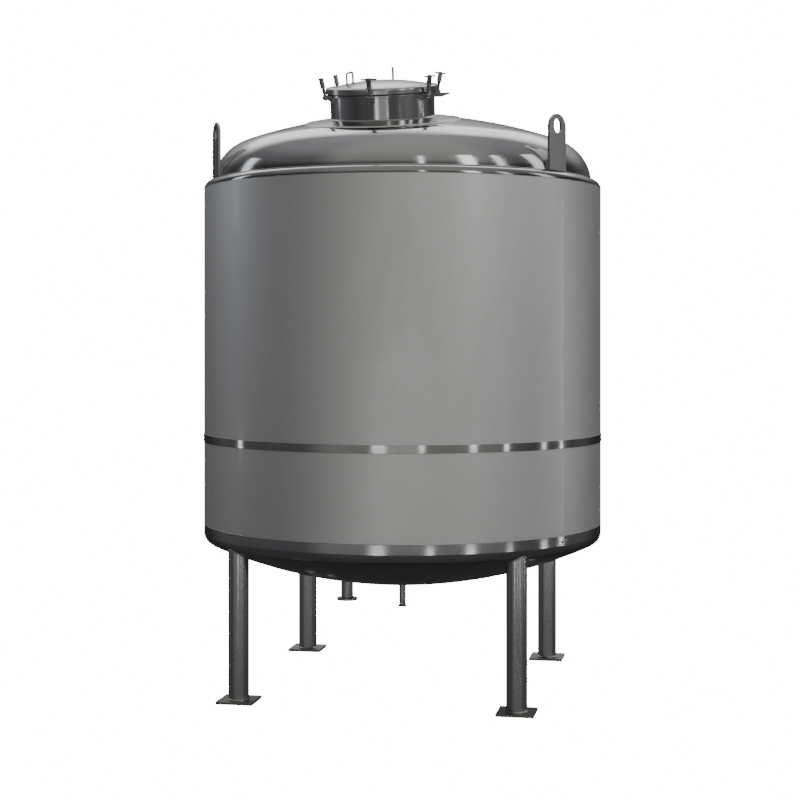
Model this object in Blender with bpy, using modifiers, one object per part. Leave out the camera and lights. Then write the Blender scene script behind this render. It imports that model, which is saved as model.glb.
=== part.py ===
"""Vertical storage tank of stainless steel on four pipe legs, with a hinged manway on its dished roof.

Units are metres and +Z is up. The origin is on the floor, on the axis of the tank, and the front is -Y.
An angle round the tank or round the manway is counted from the front, -Y, towards +X.
"""

import math

import bmesh
import bpy
from mathutils import Matrix, Vector

# Clearance between pieces that touch
GAP = 0.0003

# Facets of a full turn
SHELL_STEPS = 72
NECK_STEPS = 48
PIPE_STEPS = 24
ROD_STEPS = 12
HUB_STEPS = 16

# Segments of a dished end's crown and of its knuckle
ROOF_STEPS = (10, 6)
BOTTOM_STEPS = (5, 4)
INNER_STEPS = (5, 3)

# Jacket of the tank
JACKET_RADIUS = 0.900
JACKET_THICKNESS = 0.003
JACKET_BOTTOM = 0.723
JACKET_JOINT = 1.108
JACKET_TOP = 2.225
JACKET_SHEETS = 3
SHEET_SEAM = 0.0008
BAND_HEIGHT = 0.034
BAND_THICKNESS = 0.002

# Vessel inside the jacket
VESSEL_RADIUS = 0.858
VESSEL_THICKNESS = 0.005
VESSEL_HALVES = 2
VESSEL_WALL_BOTTOM = 0.800
VESSEL_WALL_TOP = 2.240
VESSEL_BOTTOM_TANGENT = 0.760
VESSEL_BOTTOM_KNUCKLE = 0.100
VESSEL_BOTTOM_CROWN = 1.900

# Dished roof
ROOF_TANGENT = 2.247
ROOF_KNUCKLE = 0.200
ROOF_CROWN = 2.200
ROOF_HOLE_RADIUS = 0.2195

# Rounded ring that closes the jacket against the roof
CLOSURE_INNER = 0.8571
CLOSURE_HEIGHT = 0.037
CLOSURE_THICKNESS = 0.003

# Dished bottom of the jacket
BOTTOM_TANGENT = 0.683
BOTTOM_KNUCKLE = 0.050
BOTTOM_CROWN = 2.100
BOTTOM_THICKNESS = 0.006

# Legs
LEG_COUNT = 4
LEG_FIRST_ANGLE = 45.0
LEG_CIRCLE_RADIUS = 0.846
LEG_RADIUS = 0.04445
LEG_WALL = 0.004
LEG_TOP = 0.720
FOOT_SIZE = 0.160
FOOT_THICKNESS = 0.012
FOOT_EDGE = 0.0015

# Outlets under the bottom
OUTLET_X = -0.293
OUTLET_Y = 0.147
OUTLET_RADIUS = 0.0285
OUTLET_WALL = 0.003
OUTLET_FLANGE_RADIUS = 0.0485
OUTLET_FLANGE_THICKNESS = 0.012
OUTLET_END = 0.327
OUTLET_TOP = 0.534
DRAIN_RADIUS = 0.015
DRAIN_WALL = 0.0025
DRAIN_FERRULE_RADIUS = 0.0205
DRAIN_FERRULE_THICKNESS = 0.007
DRAIN_END = 0.330
DRAIN_TOP = 0.502

# Lifting lugs
LUG_COUNT = 3
LUG_FIRST_ANGLE = 60.0
LUG_WIDTH = 0.119
LUG_THICKNESS = 0.012
LUG_BOTTOM = 2.2627
LUG_TOP = 2.504
LUG_HOLE_WIDTH = 0.050
LUG_HOLE_HEIGHT = 0.062
LUG_WALL_OVER_HOLE = 0.020
LUG_FOOT_WIDTH = 0.110
LUG_FOOT_HEIGHT = 0.045
LUG_FOOT_DEPTH = 0.020

# Manway: its own frame has its origin on the roof's surface and +Z along the neck
MANWAY_OFFSET = 0.440
NECK_RADIUS = 0.225
NECK_WALL = 0.005
NECK_RIM_RADIUS = 0.238
NECK_RIM_BOTTOM = 0.087
NECK_TOP = 0.097
PAD_RADIUS = 0.332
PAD_THICKNESS = 0.005
GASKET_INNER_RADIUS = 0.224
GASKET_OUTER_RADIUS = 0.236
GASKET_THICKNESS = 0.004
COVER_RADIUS = 0.242
COVER_BOTTOM = NECK_TOP + GAP + GASKET_THICKNESS + GAP
COVER_TOP = 0.129
COVER_LAND = 0.212
COVER_CROWN_TOP = 0.153
COVER_THICKNESS = 0.006
COVER_RIM_WIDTH = 0.020
COVER_EDGE = 0.003

# Pointed lug on the right of the neck
SIDE_LUG_ANGLE = 90.0
SIDE_LUG_THICKNESS = 0.012
SIDE_LUG_REACH = 0.298
SIDE_LUG_TOP = 0.091
SIDE_LUG_DEPTH = 0.018
SIDE_LUG_TIP_DEPTH = 0.006

# Hinge of the cover, at the back of the manway
HINGE_ANGLE = 180.0
HINGE_RADIUS = 0.268
HINGE_HEIGHT = 0.119
HINGE_PIN_RADIUS = 0.006
HINGE_BORE_RADIUS = 0.0065
HINGE_KNUCKLE_RADIUS = 0.011
HINGE_KNUCKLE_WIDTH = 0.022
HINGE_EAR_THICKNESS = 0.006
HINGE_EAR_SPACE = 0.024
HINGE_EAR_RADIUS = 0.013
HINGE_ARM_WIDTH = 0.020
HINGE_ARM_THICKNESS = 0.008
HINGE_POST_SETBACK = 0.006
HINGE_POST_RADIUS = 0.0055
HINGE_POST_TOP = 0.197

# Looped handle that stands on the left of the cover
HANDLE_OFFSET = -0.139
HANDLE_HALF_LENGTH = 0.060
HANDLE_TOP = 0.191
HANDLE_ROD_RADIUS = 0.005
HANDLE_CORNER = 0.016

# Swing bolts, slackened so that they lean just clear of the cover
BOLT_ANGLES = (0.0, 60.0, 120.0, 240.0, 300.0)
BOLT_LEAN = 11.5
BOLT_CIRCLE_RADIUS = 0.254
BOLT_PIVOT_HEIGHT = 0.089
BOLT_RADIUS = 0.0075
BOLT_EYE_RADIUS = 0.0115
BOLT_EYE_WIDTH = 0.015
BOLT_BORE_RADIUS = 0.0055
BOLT_PIN_RADIUS = 0.005
BOLT_EAR_SPACE = 0.017
BOLT_EAR_THICKNESS = 0.005
BOLT_EAR_RADIUS = 0.011
BOLT_EAR_ROOT_TOP = -0.004
BOLT_EAR_ROOT_BOTTOM = -0.034
BOLT_LENGTH = 0.078
NUT_START = 0.042
NUT_FLANGE_RADIUS = 0.015
NUT_FLANGE_THICKNESS = 0.004
NUT_HUB_RADIUS = 0.0105
NUT_BORE_RADIUS = 0.0078
NUT_TOP = 0.086
NUT_BORE_END = 0.0785
NUT_BAR_RADIUS = 0.004
NUT_BAR_LENGTH = 0.072
NUT_BAR_HEIGHT = 0.080
NUT_TURNS = (0.0, 0.0, 20.0, 30.0, 0.0)

# How far a welded piece reaches into the one that carries it
WELD_DEPTH = 0.0025


def clear_scene():
    """Removes the objects that the scene starts with."""
    for obj in list(bpy.data.objects):
        bpy.data.objects.remove(obj, do_unlink=True)


def make_collection(name):
    """Makes a collection in the scene."""
    collection = bpy.data.collections.new(name)
    bpy.context.scene.collection.children.link(collection)
    return collection


def make_material(name, colour, roughness, metallic=1.0):
    """Makes a plain Principled material."""
    material = bpy.data.materials.new(name)
    material.use_nodes = True
    shader = material.node_tree.nodes["Principled BSDF"]
    shader.inputs["Base Color"].default_value = (*colour, 1.0)
    shader.inputs["Roughness"].default_value = roughness
    shader.inputs["Metallic"].default_value = metallic
    return material


clear_scene()
PARTS = make_collection("vertical_storage_tank")
CUTTERS = make_collection("cutters")

BRUSHED = (0.40, 0.41, 0.40)
POLISHED = (0.55, 0.56, 0.56)
PIPE_GREY = (0.33, 0.34, 0.34)
RUBBER = (0.05, 0.05, 0.05)


def add_part(name, mesh, colour, roughness, metallic=1.0):
    """Links a mesh to the parts as one named object with a material of its own."""
    obj = bpy.data.objects.new(name, mesh)
    obj.data.materials.clear()
    obj.data.materials.append(make_material(name + "_finish", colour, roughness, metallic))
    PARTS.objects.link(obj)
    return obj


def add_cutter(name, mesh):
    """Links a mesh to the cutters, hidden from renders."""
    obj = bpy.data.objects.new(name, mesh)
    obj.hide_render = True
    obj.display_type = "WIRE"
    CUTTERS.objects.link(obj)
    return obj


def profile_mesh(name, points, closed):
    """Makes a line of vertices and edges from (radius, height) points in the XZ plane."""
    mesh = bpy.data.meshes.new(name)
    vertices = [(radius, 0.0, height) for radius, height in points]
    edges = [(i, i + 1) for i in range(len(points) - 1)]
    if closed:
        edges.append((len(points) - 1, 0))
    mesh.from_pydata(vertices, edges, [])
    return mesh


def add_screw(obj, steps, degrees=360.0):
    """Turns an object's profile round Z with a Screw modifier."""
    screw = obj.modifiers.new("Turn", "SCREW")
    screw.axis = "Z"
    screw.angle = math.radians(degrees)
    screw.steps = steps
    screw.render_steps = steps
    screw.use_merge_vertices = degrees == 360.0
    screw.merge_threshold = 0.00001
    screw.use_smooth_shade = True


def add_boolean(obj, other, operation):
    """Adds an exact Boolean with another object."""
    boolean = obj.modifiers.new(operation.title(), "BOOLEAN")
    boolean.operation = operation
    boolean.solver = "EXACT"
    boolean.object = other


def evaluated_mesh(obj):
    """Returns an object's mesh as its modifiers leave it, in the object's own space."""
    bpy.context.view_layer.update()
    graph = bpy.context.evaluated_depsgraph_get()
    return bpy.data.meshes.new_from_object(obj.evaluated_get(graph), depsgraph=graph)


def apply_modifiers(obj):
    """Replaces an object's mesh with its evaluated one and drops its modifiers."""
    mesh = evaluated_mesh(obj)
    obj.modifiers.clear()
    old = obj.data
    obj.data = mesh
    bpy.data.meshes.remove(old)


def shade_round(obj, angle=35.0):
    """Shades an object smooth and keeps its sharp edges."""
    obj.data.shade_smooth()
    obj.data.set_sharp_from_angle(angle=math.radians(angle))


def turned_part(name, points, closed, steps, colour, roughness, metallic=1.0):
    """Makes a turned piece from its (radius, height) profile."""
    obj = add_part(name, profile_mesh(name, points, closed), colour, roughness, metallic)
    add_screw(obj, steps)
    return obj


def turned_cutter(name, points, steps):
    """Makes a turned cutter, whose profile starts and ends on the axis."""
    obj = add_cutter(name, profile_mesh(name, points, False))
    add_screw(obj, steps)
    return obj


def cylinder_mesh(name, radius, depth, steps):
    """Makes a closed cylinder along Z, centred on its origin."""
    shape = bmesh.new()
    bmesh.ops.create_cone(shape, cap_ends=True, segments=steps, radius1=radius, radius2=radius, depth=depth)
    mesh = bpy.data.meshes.new(name)
    shape.to_mesh(mesh)
    shape.free()
    return mesh


def box_mesh(name, size):
    """Makes a box centred on its origin."""
    shape = bmesh.new()
    bmesh.ops.create_cube(shape, size=1.0, matrix=Matrix.Diagonal((*size, 1.0)))
    mesh = bpy.data.meshes.new(name)
    shape.to_mesh(mesh)
    shape.free()
    return mesh


def plate_mesh(name, outlines, thickness):
    """Makes a flat plate in the XY plane from a filled 2D curve; outlines after the first are holes."""
    curve = bpy.data.curves.new(name, "CURVE")
    curve.dimensions = "2D"
    curve.fill_mode = "BOTH"
    curve.extrude = thickness / 2
    for outline in outlines:
        spline = curve.splines.new("POLY")
        spline.points.add(len(outline) - 1)
        spline.use_cyclic_u = True
        for point, (x, y) in zip(spline.points, outline):
            point.co = (x, y, 0.0, 1.0)
    obj = bpy.data.objects.new(name, curve)
    CUTTERS.objects.link(obj)
    mesh = evaluated_mesh(obj)
    bpy.data.objects.remove(obj, do_unlink=True)
    weld_mesh(mesh)
    return mesh


def rod_mesh(name, points, radius):
    """Makes a round rod along a line of points, with welded caps."""
    curve = bpy.data.curves.new(name, "CURVE")
    curve.dimensions = "3D"
    curve.bevel_depth = radius
    curve.bevel_resolution = 3
    curve.use_fill_caps = True
    spline = curve.splines.new("POLY")
    spline.points.add(len(points) - 1)
    for point, place in zip(spline.points, points):
        point.co = (*place, 1.0)
    obj = bpy.data.objects.new(name, curve)
    CUTTERS.objects.link(obj)
    mesh = evaluated_mesh(obj)
    bpy.data.objects.remove(obj, do_unlink=True)
    weld_mesh(mesh)
    return mesh


def weld_mesh(mesh):
    """Joins the loose caps and sides that a curve gives."""
    shape = bmesh.new()
    shape.from_mesh(mesh)
    bmesh.ops.remove_doubles(shape, verts=shape.verts, dist=0.00001)
    bmesh.ops.recalc_face_normals(shape, faces=shape.faces)
    shape.to_mesh(mesh)
    shape.free()


def merged_mesh(name, placed_meshes):
    """Puts several meshes, each with its matrix, into one mesh."""
    shape = bmesh.new()
    for mesh, matrix in placed_meshes:
        piece = mesh.copy()
        piece.transform(matrix)
        shape.from_mesh(piece)
        bpy.data.meshes.remove(piece)
    merged = bpy.data.meshes.new(name)
    shape.to_mesh(merged)
    shape.free()
    return merged


def arc(centre, radius, start, end, count):
    """Points of an arc in a plane, from one angle to another in degrees."""
    points = []
    for i in range(count + 1):
        angle = math.radians(start + (end - start) * i / count)
        points.append((centre[0] + radius * math.cos(angle), centre[1] + radius * math.sin(angle)))
    return points


def dish_curve(radius, knuckle, crown, tangent, up, steps, inset=0.0):
    """Profile of a dished end from its pole to its tangent line.

    Radius, knuckle and crown are those of the outer surface; inset moves the curve towards the inside.
    Steps are the segments of the crown and of the knuckle. The end bulges upwards where up is 1 and
    downwards where it is -1.
    """
    crown_steps, knuckle_steps = steps
    knuckle_centre = radius - knuckle
    pole_height = crown - math.sqrt((crown - knuckle) ** 2 - knuckle_centre ** 2)
    crown_centre = pole_height - crown
    turn = math.degrees(math.asin(knuckle_centre / (crown - knuckle)))
    points = arc((0.0, crown_centre), crown - inset, 90.0, 90.0 - turn, crown_steps)
    points += arc((knuckle_centre, 0.0), knuckle - inset, 90.0 - turn, 0.0, knuckle_steps)[1:]
    points[0] = (0.0, points[0][1])
    return [(r, tangent + up * height) for r, height in points]


def dish_pole(radius, knuckle, crown, tangent, up):
    """Height of a dished end's pole."""
    return dish_curve(radius, knuckle, crown, tangent, up, (1, 1))[0][1]


def bearing(angle):
    """Unit vector that points outwards at an angle from the front."""
    turn = math.radians(angle)
    return Vector((math.sin(turn), -math.cos(turn), 0.0))


def station(angle, radius=0.0, height=0.0):
    """Matrix of a plate that stands radially: its X points outwards, its Y up and its Z sideways."""
    outwards = bearing(angle)
    upwards = Vector((0.0, 0.0, 1.0))
    sideways = outwards.cross(upwards)
    matrix = Matrix((outwards, upwards, sideways)).transposed().to_4x4()
    matrix.translation = outwards * radius + upwards * height
    return matrix


def facing(angle, radius, height):
    """Matrix of a plate that stands tangentially: its X points sideways, its Y up and its Z outwards."""
    outwards = bearing(angle)
    upwards = Vector((0.0, 0.0, 1.0))
    sideways = upwards.cross(outwards)
    matrix = Matrix((sideways, upwards, outwards)).transposed().to_4x4()
    matrix.translation = outwards * radius + upwards * height
    return matrix


def manway_matrix():
    """Frame of the manway: it stands square to the roof's crown."""
    tilt = math.asin(MANWAY_OFFSET / ROOF_CROWN)
    pole = dish_pole(VESSEL_RADIUS, ROOF_KNUCKLE, ROOF_CROWN, ROOF_TANGENT, 1)
    height = pole - ROOF_CROWN + ROOF_CROWN * math.cos(tilt)
    return Matrix.Translation((0.0, -MANWAY_OFFSET, height)) @ Matrix.Rotation(tilt, 4, "X")


def crown_drop(radius, lift=0.0):
    """Height of the roof's surface, raised by lift, in the manway's frame."""
    return math.sqrt((ROOF_CROWN + lift) ** 2 - radius ** 2) - ROOF_CROWN


def place_in(obj, parent, matrix=Matrix.Identity(4)):
    """Parents an object and sets its place in the parent's frame."""
    obj.parent = parent
    obj.matrix_local = matrix


def add_empty(name, matrix, parent=None):
    """Adds an empty that carries pieces, on a joint's axis or at a sub-assembly's origin."""
    empty = bpy.data.objects.new(name, None)
    PARTS.objects.link(empty)
    empty.parent = parent
    empty.matrix_local = matrix
    return empty


def build_jacket():
    """Makes the jacket's sheets in two courses, and the band over the joint between them."""
    courses = (
        ("cladding_lower", JACKET_BOTTOM + GAP, JACKET_JOINT - GAP),
        ("cladding_upper", JACKET_JOINT, JACKET_TOP),
    )
    for course, bottom, top in courses:
        add_sheets(course, JACKET_SHEETS, JACKET_RADIUS, JACKET_THICKNESS, bottom, top, BRUSHED, 0.38)
    inner = JACKET_RADIUS + GAP
    outer = inner + BAND_THICKNESS
    low = JACKET_JOINT - BAND_HEIGHT / 2
    high = JACKET_JOINT + BAND_HEIGHT / 2
    points = [(inner, high), (outer, high), (outer, low), (inner, low)]
    band = turned_part("cladding_band", points, True, SHELL_STEPS, POLISHED, 0.16)
    apply_modifiers(band)
    shade_round(band)


def add_sheets(name, count, radius, thickness, bottom, top, colour, roughness):
    """Makes a round wall from equal sheets, each an open turned strip made thick with Solidify."""
    share = 360.0 / count
    seam = math.degrees(SHEET_SEAM / radius)
    for number in range(count):
        points = [(radius, top), (radius, bottom)]
        mesh = profile_mesh(f"{name}_{number + 1}", points, False)
        sheet = add_part(f"{name}_{number + 1}", mesh, colour, roughness)
        add_screw(sheet, SHELL_STEPS // count, share - seam)
        solidify = sheet.modifiers.new("Thickness", "SOLIDIFY")
        solidify.thickness = thickness
        solidify.offset = -1.0
        solidify.use_even_offset = True
        apply_modifiers(sheet)
        sheet.rotation_euler.z = math.radians(90.0 + share * number)
        shade_round(sheet)


def build_closure_ring():
    """Makes the rounded ring between the jacket's top edge and the roof."""
    inner = CLOSURE_INNER
    base = JACKET_TOP + GAP
    width = JACKET_RADIUS - inner
    outside = [(inner + width * x, base + CLOSURE_HEIGHT * y)
               for x, y in arc((0.0, 0.0), 1.0, 90.0, 0.0, 6)]
    thin_width = width - CLOSURE_THICKNESS
    thin_height = CLOSURE_HEIGHT - CLOSURE_THICKNESS
    inside = [(inner + thin_width * x, base + thin_height * y)
              for x, y in arc((0.0, 0.0), 1.0, 0.0, 90.0, 3)]
    ring = turned_part("closure_ring", outside + inside, True, SHELL_STEPS, POLISHED, 0.14)
    apply_modifiers(ring)
    shade_round(ring)


def dished_shell_points(radius, thickness, knuckle, crown, tangent, edge, up, steps, inner_steps):
    """Profile of a dished shell with a straight flange, from the axis and back to it."""
    outside = dish_curve(radius, knuckle, crown, tangent, up, steps)
    inside = dish_curve(radius, knuckle, crown, tangent, up, inner_steps, inset=thickness)
    outside.append((radius, edge))
    inside.append((radius - thickness, edge))
    if up > 0:
        return outside + inside[::-1]
    return inside + outside[::-1]


def build_roof(manway):
    """Makes the dished roof with its hole for the manway."""
    points = dished_shell_points(VESSEL_RADIUS, VESSEL_THICKNESS, ROOF_KNUCKLE, ROOF_CROWN,
                                 ROOF_TANGENT, VESSEL_WALL_TOP, 1, ROOF_STEPS, INNER_STEPS)
    roof = turned_part("top_head", points, False, SHELL_STEPS, BRUSHED, 0.28)
    hole = add_cutter("manway_hole", cylinder_mesh("manway_hole", ROOF_HOLE_RADIUS, 0.2, NECK_STEPS))
    hole.matrix_world = manway
    add_boolean(roof, hole, "DIFFERENCE")
    apply_modifiers(roof)
    shade_round(roof)


def build_vessel():
    """Makes the vessel's wall in halves, and its dished bottom."""
    add_sheets("vessel_wall", VESSEL_HALVES, VESSEL_RADIUS, VESSEL_THICKNESS,
               VESSEL_WALL_BOTTOM + GAP, VESSEL_WALL_TOP - GAP, BRUSHED, 0.3)
    points = dished_shell_points(VESSEL_RADIUS, VESSEL_THICKNESS, VESSEL_BOTTOM_KNUCKLE,
                                 VESSEL_BOTTOM_CROWN, VESSEL_BOTTOM_TANGENT, VESSEL_WALL_BOTTOM, -1,
                                 INNER_STEPS, INNER_STEPS)
    bottom = turned_part("vessel_bottom", points, False, SHELL_STEPS, BRUSHED, 0.3)
    cut_outlet_holes(bottom)
    apply_modifiers(bottom)
    shade_round(bottom)


def build_bottom_head():
    """Makes the jacket's dished bottom."""
    points = dished_shell_points(JACKET_RADIUS, BOTTOM_THICKNESS, BOTTOM_KNUCKLE, BOTTOM_CROWN,
                                 BOTTOM_TANGENT, JACKET_BOTTOM, -1, BOTTOM_STEPS, INNER_STEPS)
    bottom = turned_part("bottom_head", points, False, SHELL_STEPS, POLISHED, 0.15)
    cut_outlet_holes(bottom)
    apply_modifiers(bottom)
    shade_round(bottom)


def cut_outlet_holes(obj):
    """Cuts the holes that the outlet pipes pass through."""
    outlets = (
        ("outlet_hole", OUTLET_X, OUTLET_Y, OUTLET_RADIUS + GAP),
        ("drain_hole", 0.0, 0.0, DRAIN_RADIUS + GAP),
    )
    for name, x, y, radius in outlets:
        length = VESSEL_WALL_BOTTOM
        hole = add_cutter(name, cylinder_mesh(name, radius, length, PIPE_STEPS))
        hole.location = (x, y, length / 2)
        add_boolean(obj, hole, "DIFFERENCE")


def build_legs():
    """Makes the pipe legs, coped to the dished bottom, and the foot plates."""
    inner = LEG_RADIUS - LEG_WALL
    base = FOOT_THICKNESS + GAP
    tube = [(inner, LEG_TOP), (LEG_RADIUS, LEG_TOP), (LEG_RADIUS, base), (inner, base)]
    over_head = dish_curve(JACKET_RADIUS + GAP, BOTTOM_KNUCKLE + GAP, BOTTOM_CROWN + GAP,
                           BOTTOM_TANGENT, -1, BOTTOM_STEPS)
    space = [(0.0, LEG_TOP + 0.1), (JACKET_RADIUS + GAP, LEG_TOP + 0.1)] + over_head[::-1]
    head_space = turned_cutter("bottom_head_space", space, SHELL_STEPS)
    for number in range(LEG_COUNT):
        angle = LEG_FIRST_ANGLE + number * 360.0 / LEG_COUNT
        place = bearing(angle) * LEG_CIRCLE_RADIUS
        leg = turned_part(f"leg_{number + 1}", tube, True, PIPE_STEPS, PIPE_GREY, 0.3)
        leg.location = place
        add_boolean(leg, head_space, "DIFFERENCE")
        apply_modifiers(leg)
        shade_round(leg)
        mesh = box_mesh(f"foot_plate_{number + 1}", (FOOT_SIZE, FOOT_SIZE, FOOT_THICKNESS))
        foot = add_part(f"foot_plate_{number + 1}", mesh, PIPE_GREY, 0.4)
        foot.location = place + Vector((0.0, 0.0, FOOT_THICKNESS / 2))
        edge = foot.modifiers.new("Edges", "BEVEL")
        edge.width = FOOT_EDGE
        edge.segments = 1


def build_outlets():
    """Makes the flanged outlet and the drain pipe, which pass through both bottoms."""
    outlets = (
        ("outlet_nozzle", OUTLET_X, OUTLET_Y, OUTLET_RADIUS, OUTLET_WALL, OUTLET_FLANGE_RADIUS,
         OUTLET_FLANGE_THICKNESS, OUTLET_END, OUTLET_TOP),
        ("drain_pipe", 0.0, 0.0, DRAIN_RADIUS, DRAIN_WALL, DRAIN_FERRULE_RADIUS,
         DRAIN_FERRULE_THICKNESS, DRAIN_END, DRAIN_TOP),
    )
    for name, x, y, radius, wall, flange_radius, flange_thickness, end, top in outlets:
        points = [(radius - wall, top), (radius, top), (radius, end + flange_thickness),
                  (flange_radius, end + flange_thickness), (flange_radius, end), (radius - wall, end)]
        pipe = turned_part(name, points, True, PIPE_STEPS, PIPE_GREY, 0.3)
        pipe.location = (x, y, 0.0)
        apply_modifiers(pipe)
        shade_round(pipe)


def build_lugs():
    """Makes the lifting lugs, flat plates with a round top and a foot that follows the roof's knuckle."""
    half = LUG_WIDTH / 2
    top_centre = LUG_TOP - half - LUG_BOTTOM
    outline = [(-half, 0.0), (half, 0.0)] + arc((0.0, top_centre), half, 0.0, 180.0, 16)
    hole_half = LUG_HOLE_WIDTH / 2
    hole_top = LUG_TOP - LUG_WALL_OVER_HOLE - LUG_BOTTOM - hole_half
    hole_bottom = hole_top - (LUG_HOLE_HEIGHT - LUG_HOLE_WIDTH)
    hole = arc((0.0, hole_top), hole_half, 0.0, 180.0, 12)
    hole += arc((0.0, hole_bottom), hole_half, 180.0, 360.0, 12)
    outside = VESSEL_RADIUS + GAP
    over_roof = dish_curve(outside, ROOF_KNUCKLE + GAP, ROOF_CROWN + GAP, ROOF_TANGENT, 1, ROOF_STEPS)
    under = LUG_BOTTOM - 0.1
    roof_space = turned_cutter("roof_space", over_roof + [(outside, under), (0.0, under)], SHELL_STEPS)
    foot_mesh = box_mesh("lug_foot", (LUG_FOOT_WIDTH, LUG_FOOT_HEIGHT, LUG_FOOT_DEPTH))
    for number in range(LUG_COUNT):
        angle = LUG_FIRST_ANGLE + number * 360.0 / LUG_COUNT
        name = f"lifting_lug_{number + 1}"
        lug = add_part(name, plate_mesh(name, (outline, hole), LUG_THICKNESS), BRUSHED, 0.35)
        lug.matrix_world = facing(angle, VESSEL_RADIUS + GAP + LUG_THICKNESS / 2, LUG_BOTTOM)
        foot = add_cutter(f"lug_foot_{number + 1}", foot_mesh.copy())
        behind = Matrix.Translation((0.0, LUG_FOOT_HEIGHT / 2, -LUG_FOOT_DEPTH / 2))
        foot.matrix_world = lug.matrix_world @ behind
        add_boolean(lug, foot, "UNION")
        add_boolean(lug, roof_space, "DIFFERENCE")
        apply_modifiers(lug)
        shade_round(lug)


def ear_outline():
    """Outline of a swing bolt's ear in its radial plane, from its pivot: a bracket curved underneath."""
    root = NECK_RADIUS - WELD_DEPTH - BOLT_CIRCLE_RADIUS
    reach = -root
    depth = -BOLT_EAR_RADIUS - BOLT_EAR_ROOT_BOTTOM
    underside = [(root + reach * (1.0 - x), BOLT_EAR_ROOT_BOTTOM + depth * y)
                 for x, y in arc((0.0, 0.0), 1.0, 0.0, 90.0, 5)[:-1]]
    rounded = arc((0.0, 0.0), BOLT_EAR_RADIUS, -90.0, 90.0, 8)
    return underside + rounded + [(root, BOLT_EAR_ROOT_TOP)]


def hinge_ear_outline():
    """Outline of a hinge ear in its radial plane, in the manway's own radius and height."""
    root = NECK_RADIUS - WELD_DEPTH
    rounded = arc((HINGE_RADIUS, HINGE_HEIGHT), HINGE_EAR_RADIUS, -30.0, 180.0, 10)
    return [(root, 0.031), (0.238, 0.041)] + rounded + [(0.2555, 0.101), (0.240, 0.091), (root, 0.085)]


def side_lug_outline():
    """Outline of the pointed lug in its radial plane, in the manway's own radius and height."""
    root = NECK_RADIUS - WELD_DEPTH
    middle = (root + SIDE_LUG_REACH) / 2
    return [
        (root, SIDE_LUG_TOP - SIDE_LUG_DEPTH), (middle, SIDE_LUG_TOP - SIDE_LUG_DEPTH),
        (SIDE_LUG_REACH, SIDE_LUG_TOP - SIDE_LUG_TIP_DEPTH), (SIDE_LUG_REACH, SIDE_LUG_TOP),
        (root, SIDE_LUG_TOP),
    ]


def paired_plates(mesh, place, space, thickness):
    """Places two like plates either side of a radial plane, with a space between them."""
    offset = (space + thickness) / 2
    return [(mesh, place @ Matrix.Translation((0.0, 0.0, side * offset))) for side in (-1, 1)]


def build_neck(manway):
    """Makes the manway's neck, with the lug, the ears and the pins that are welded to it."""
    outer = NECK_RADIUS
    inner = NECK_RADIUS - NECK_WALL
    points = [
        (inner, NECK_TOP), (NECK_RIM_RADIUS, NECK_TOP), (NECK_RIM_RADIUS, NECK_RIM_BOTTOM),
        (outer, NECK_RIM_BOTTOM), (outer, crown_drop(outer) + GAP), (inner, crown_drop(inner) + GAP),
    ]
    neck = turned_part("manway_neck", points, True, NECK_STEPS, POLISHED, 0.2)

    lug = plate_mesh("side_lug", (side_lug_outline(),), SIDE_LUG_THICKNESS)
    plates = [(lug, station(SIDE_LUG_ANGLE))]
    hinge_ear = plate_mesh("hinge_ear", (hinge_ear_outline(),), HINGE_EAR_THICKNESS)
    plates += paired_plates(hinge_ear, station(HINGE_ANGLE), HINGE_EAR_SPACE, HINGE_EAR_THICKNESS)
    bolt_ear = plate_mesh("bolt_ear", (ear_outline(),), BOLT_EAR_THICKNESS)
    length = HINGE_EAR_SPACE + 2 * HINGE_EAR_THICKNESS + 0.006
    hinge_pin = cylinder_mesh("hinge_pin", HINGE_PIN_RADIUS, length, ROD_STEPS)
    pins = [(hinge_pin, station(HINGE_ANGLE, HINGE_RADIUS, HINGE_HEIGHT))]
    length = BOLT_EAR_SPACE + 2 * BOLT_EAR_THICKNESS + 0.004
    bolt_pin = cylinder_mesh("bolt_pin", BOLT_PIN_RADIUS, length, ROD_STEPS)
    for angle in BOLT_ANGLES:
        place = station(angle, BOLT_CIRCLE_RADIUS, BOLT_PIVOT_HEIGHT)
        plates += paired_plates(bolt_ear, place, BOLT_EAR_SPACE, BOLT_EAR_THICKNESS)
        pins.append((bolt_pin, place))
    for name, pieces in (("neck_plates", plates), ("neck_pins", pins)):
        add_boolean(neck, add_cutter(name, merged_mesh(name, pieces)), "UNION")
    apply_modifiers(neck)
    place_in(neck, manway)
    shade_round(neck)


def build_pad(manway):
    """Makes the ring of plate round the neck, which follows the roof."""
    inner = NECK_RADIUS + GAP
    count = 4
    radii = [inner + (PAD_RADIUS - inner) * i / count for i in range(count + 1)]
    top = [(radius, crown_drop(radius, PAD_THICKNESS)) for radius in radii]
    under = [(radius, crown_drop(radius) + GAP) for radius in radii]
    pad = turned_part("manway_pad", top + under[::-1], True, NECK_STEPS, POLISHED, 0.22)
    apply_modifiers(pad)
    place_in(pad, manway)
    shade_round(pad)


def build_gasket(manway):
    """Makes the ring of rubber between the neck's rim and the cover."""
    low = NECK_TOP + GAP
    high = low + GASKET_THICKNESS
    points = [(GASKET_INNER_RADIUS, high), (GASKET_OUTER_RADIUS, high),
              (GASKET_OUTER_RADIUS, low), (GASKET_INNER_RADIUS, low)]
    gasket = turned_part("manway_gasket", points, True, NECK_STEPS, RUBBER, 0.8, 0.0)
    apply_modifiers(gasket)
    place_in(gasket, manway)
    shade_round(gasket)


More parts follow.
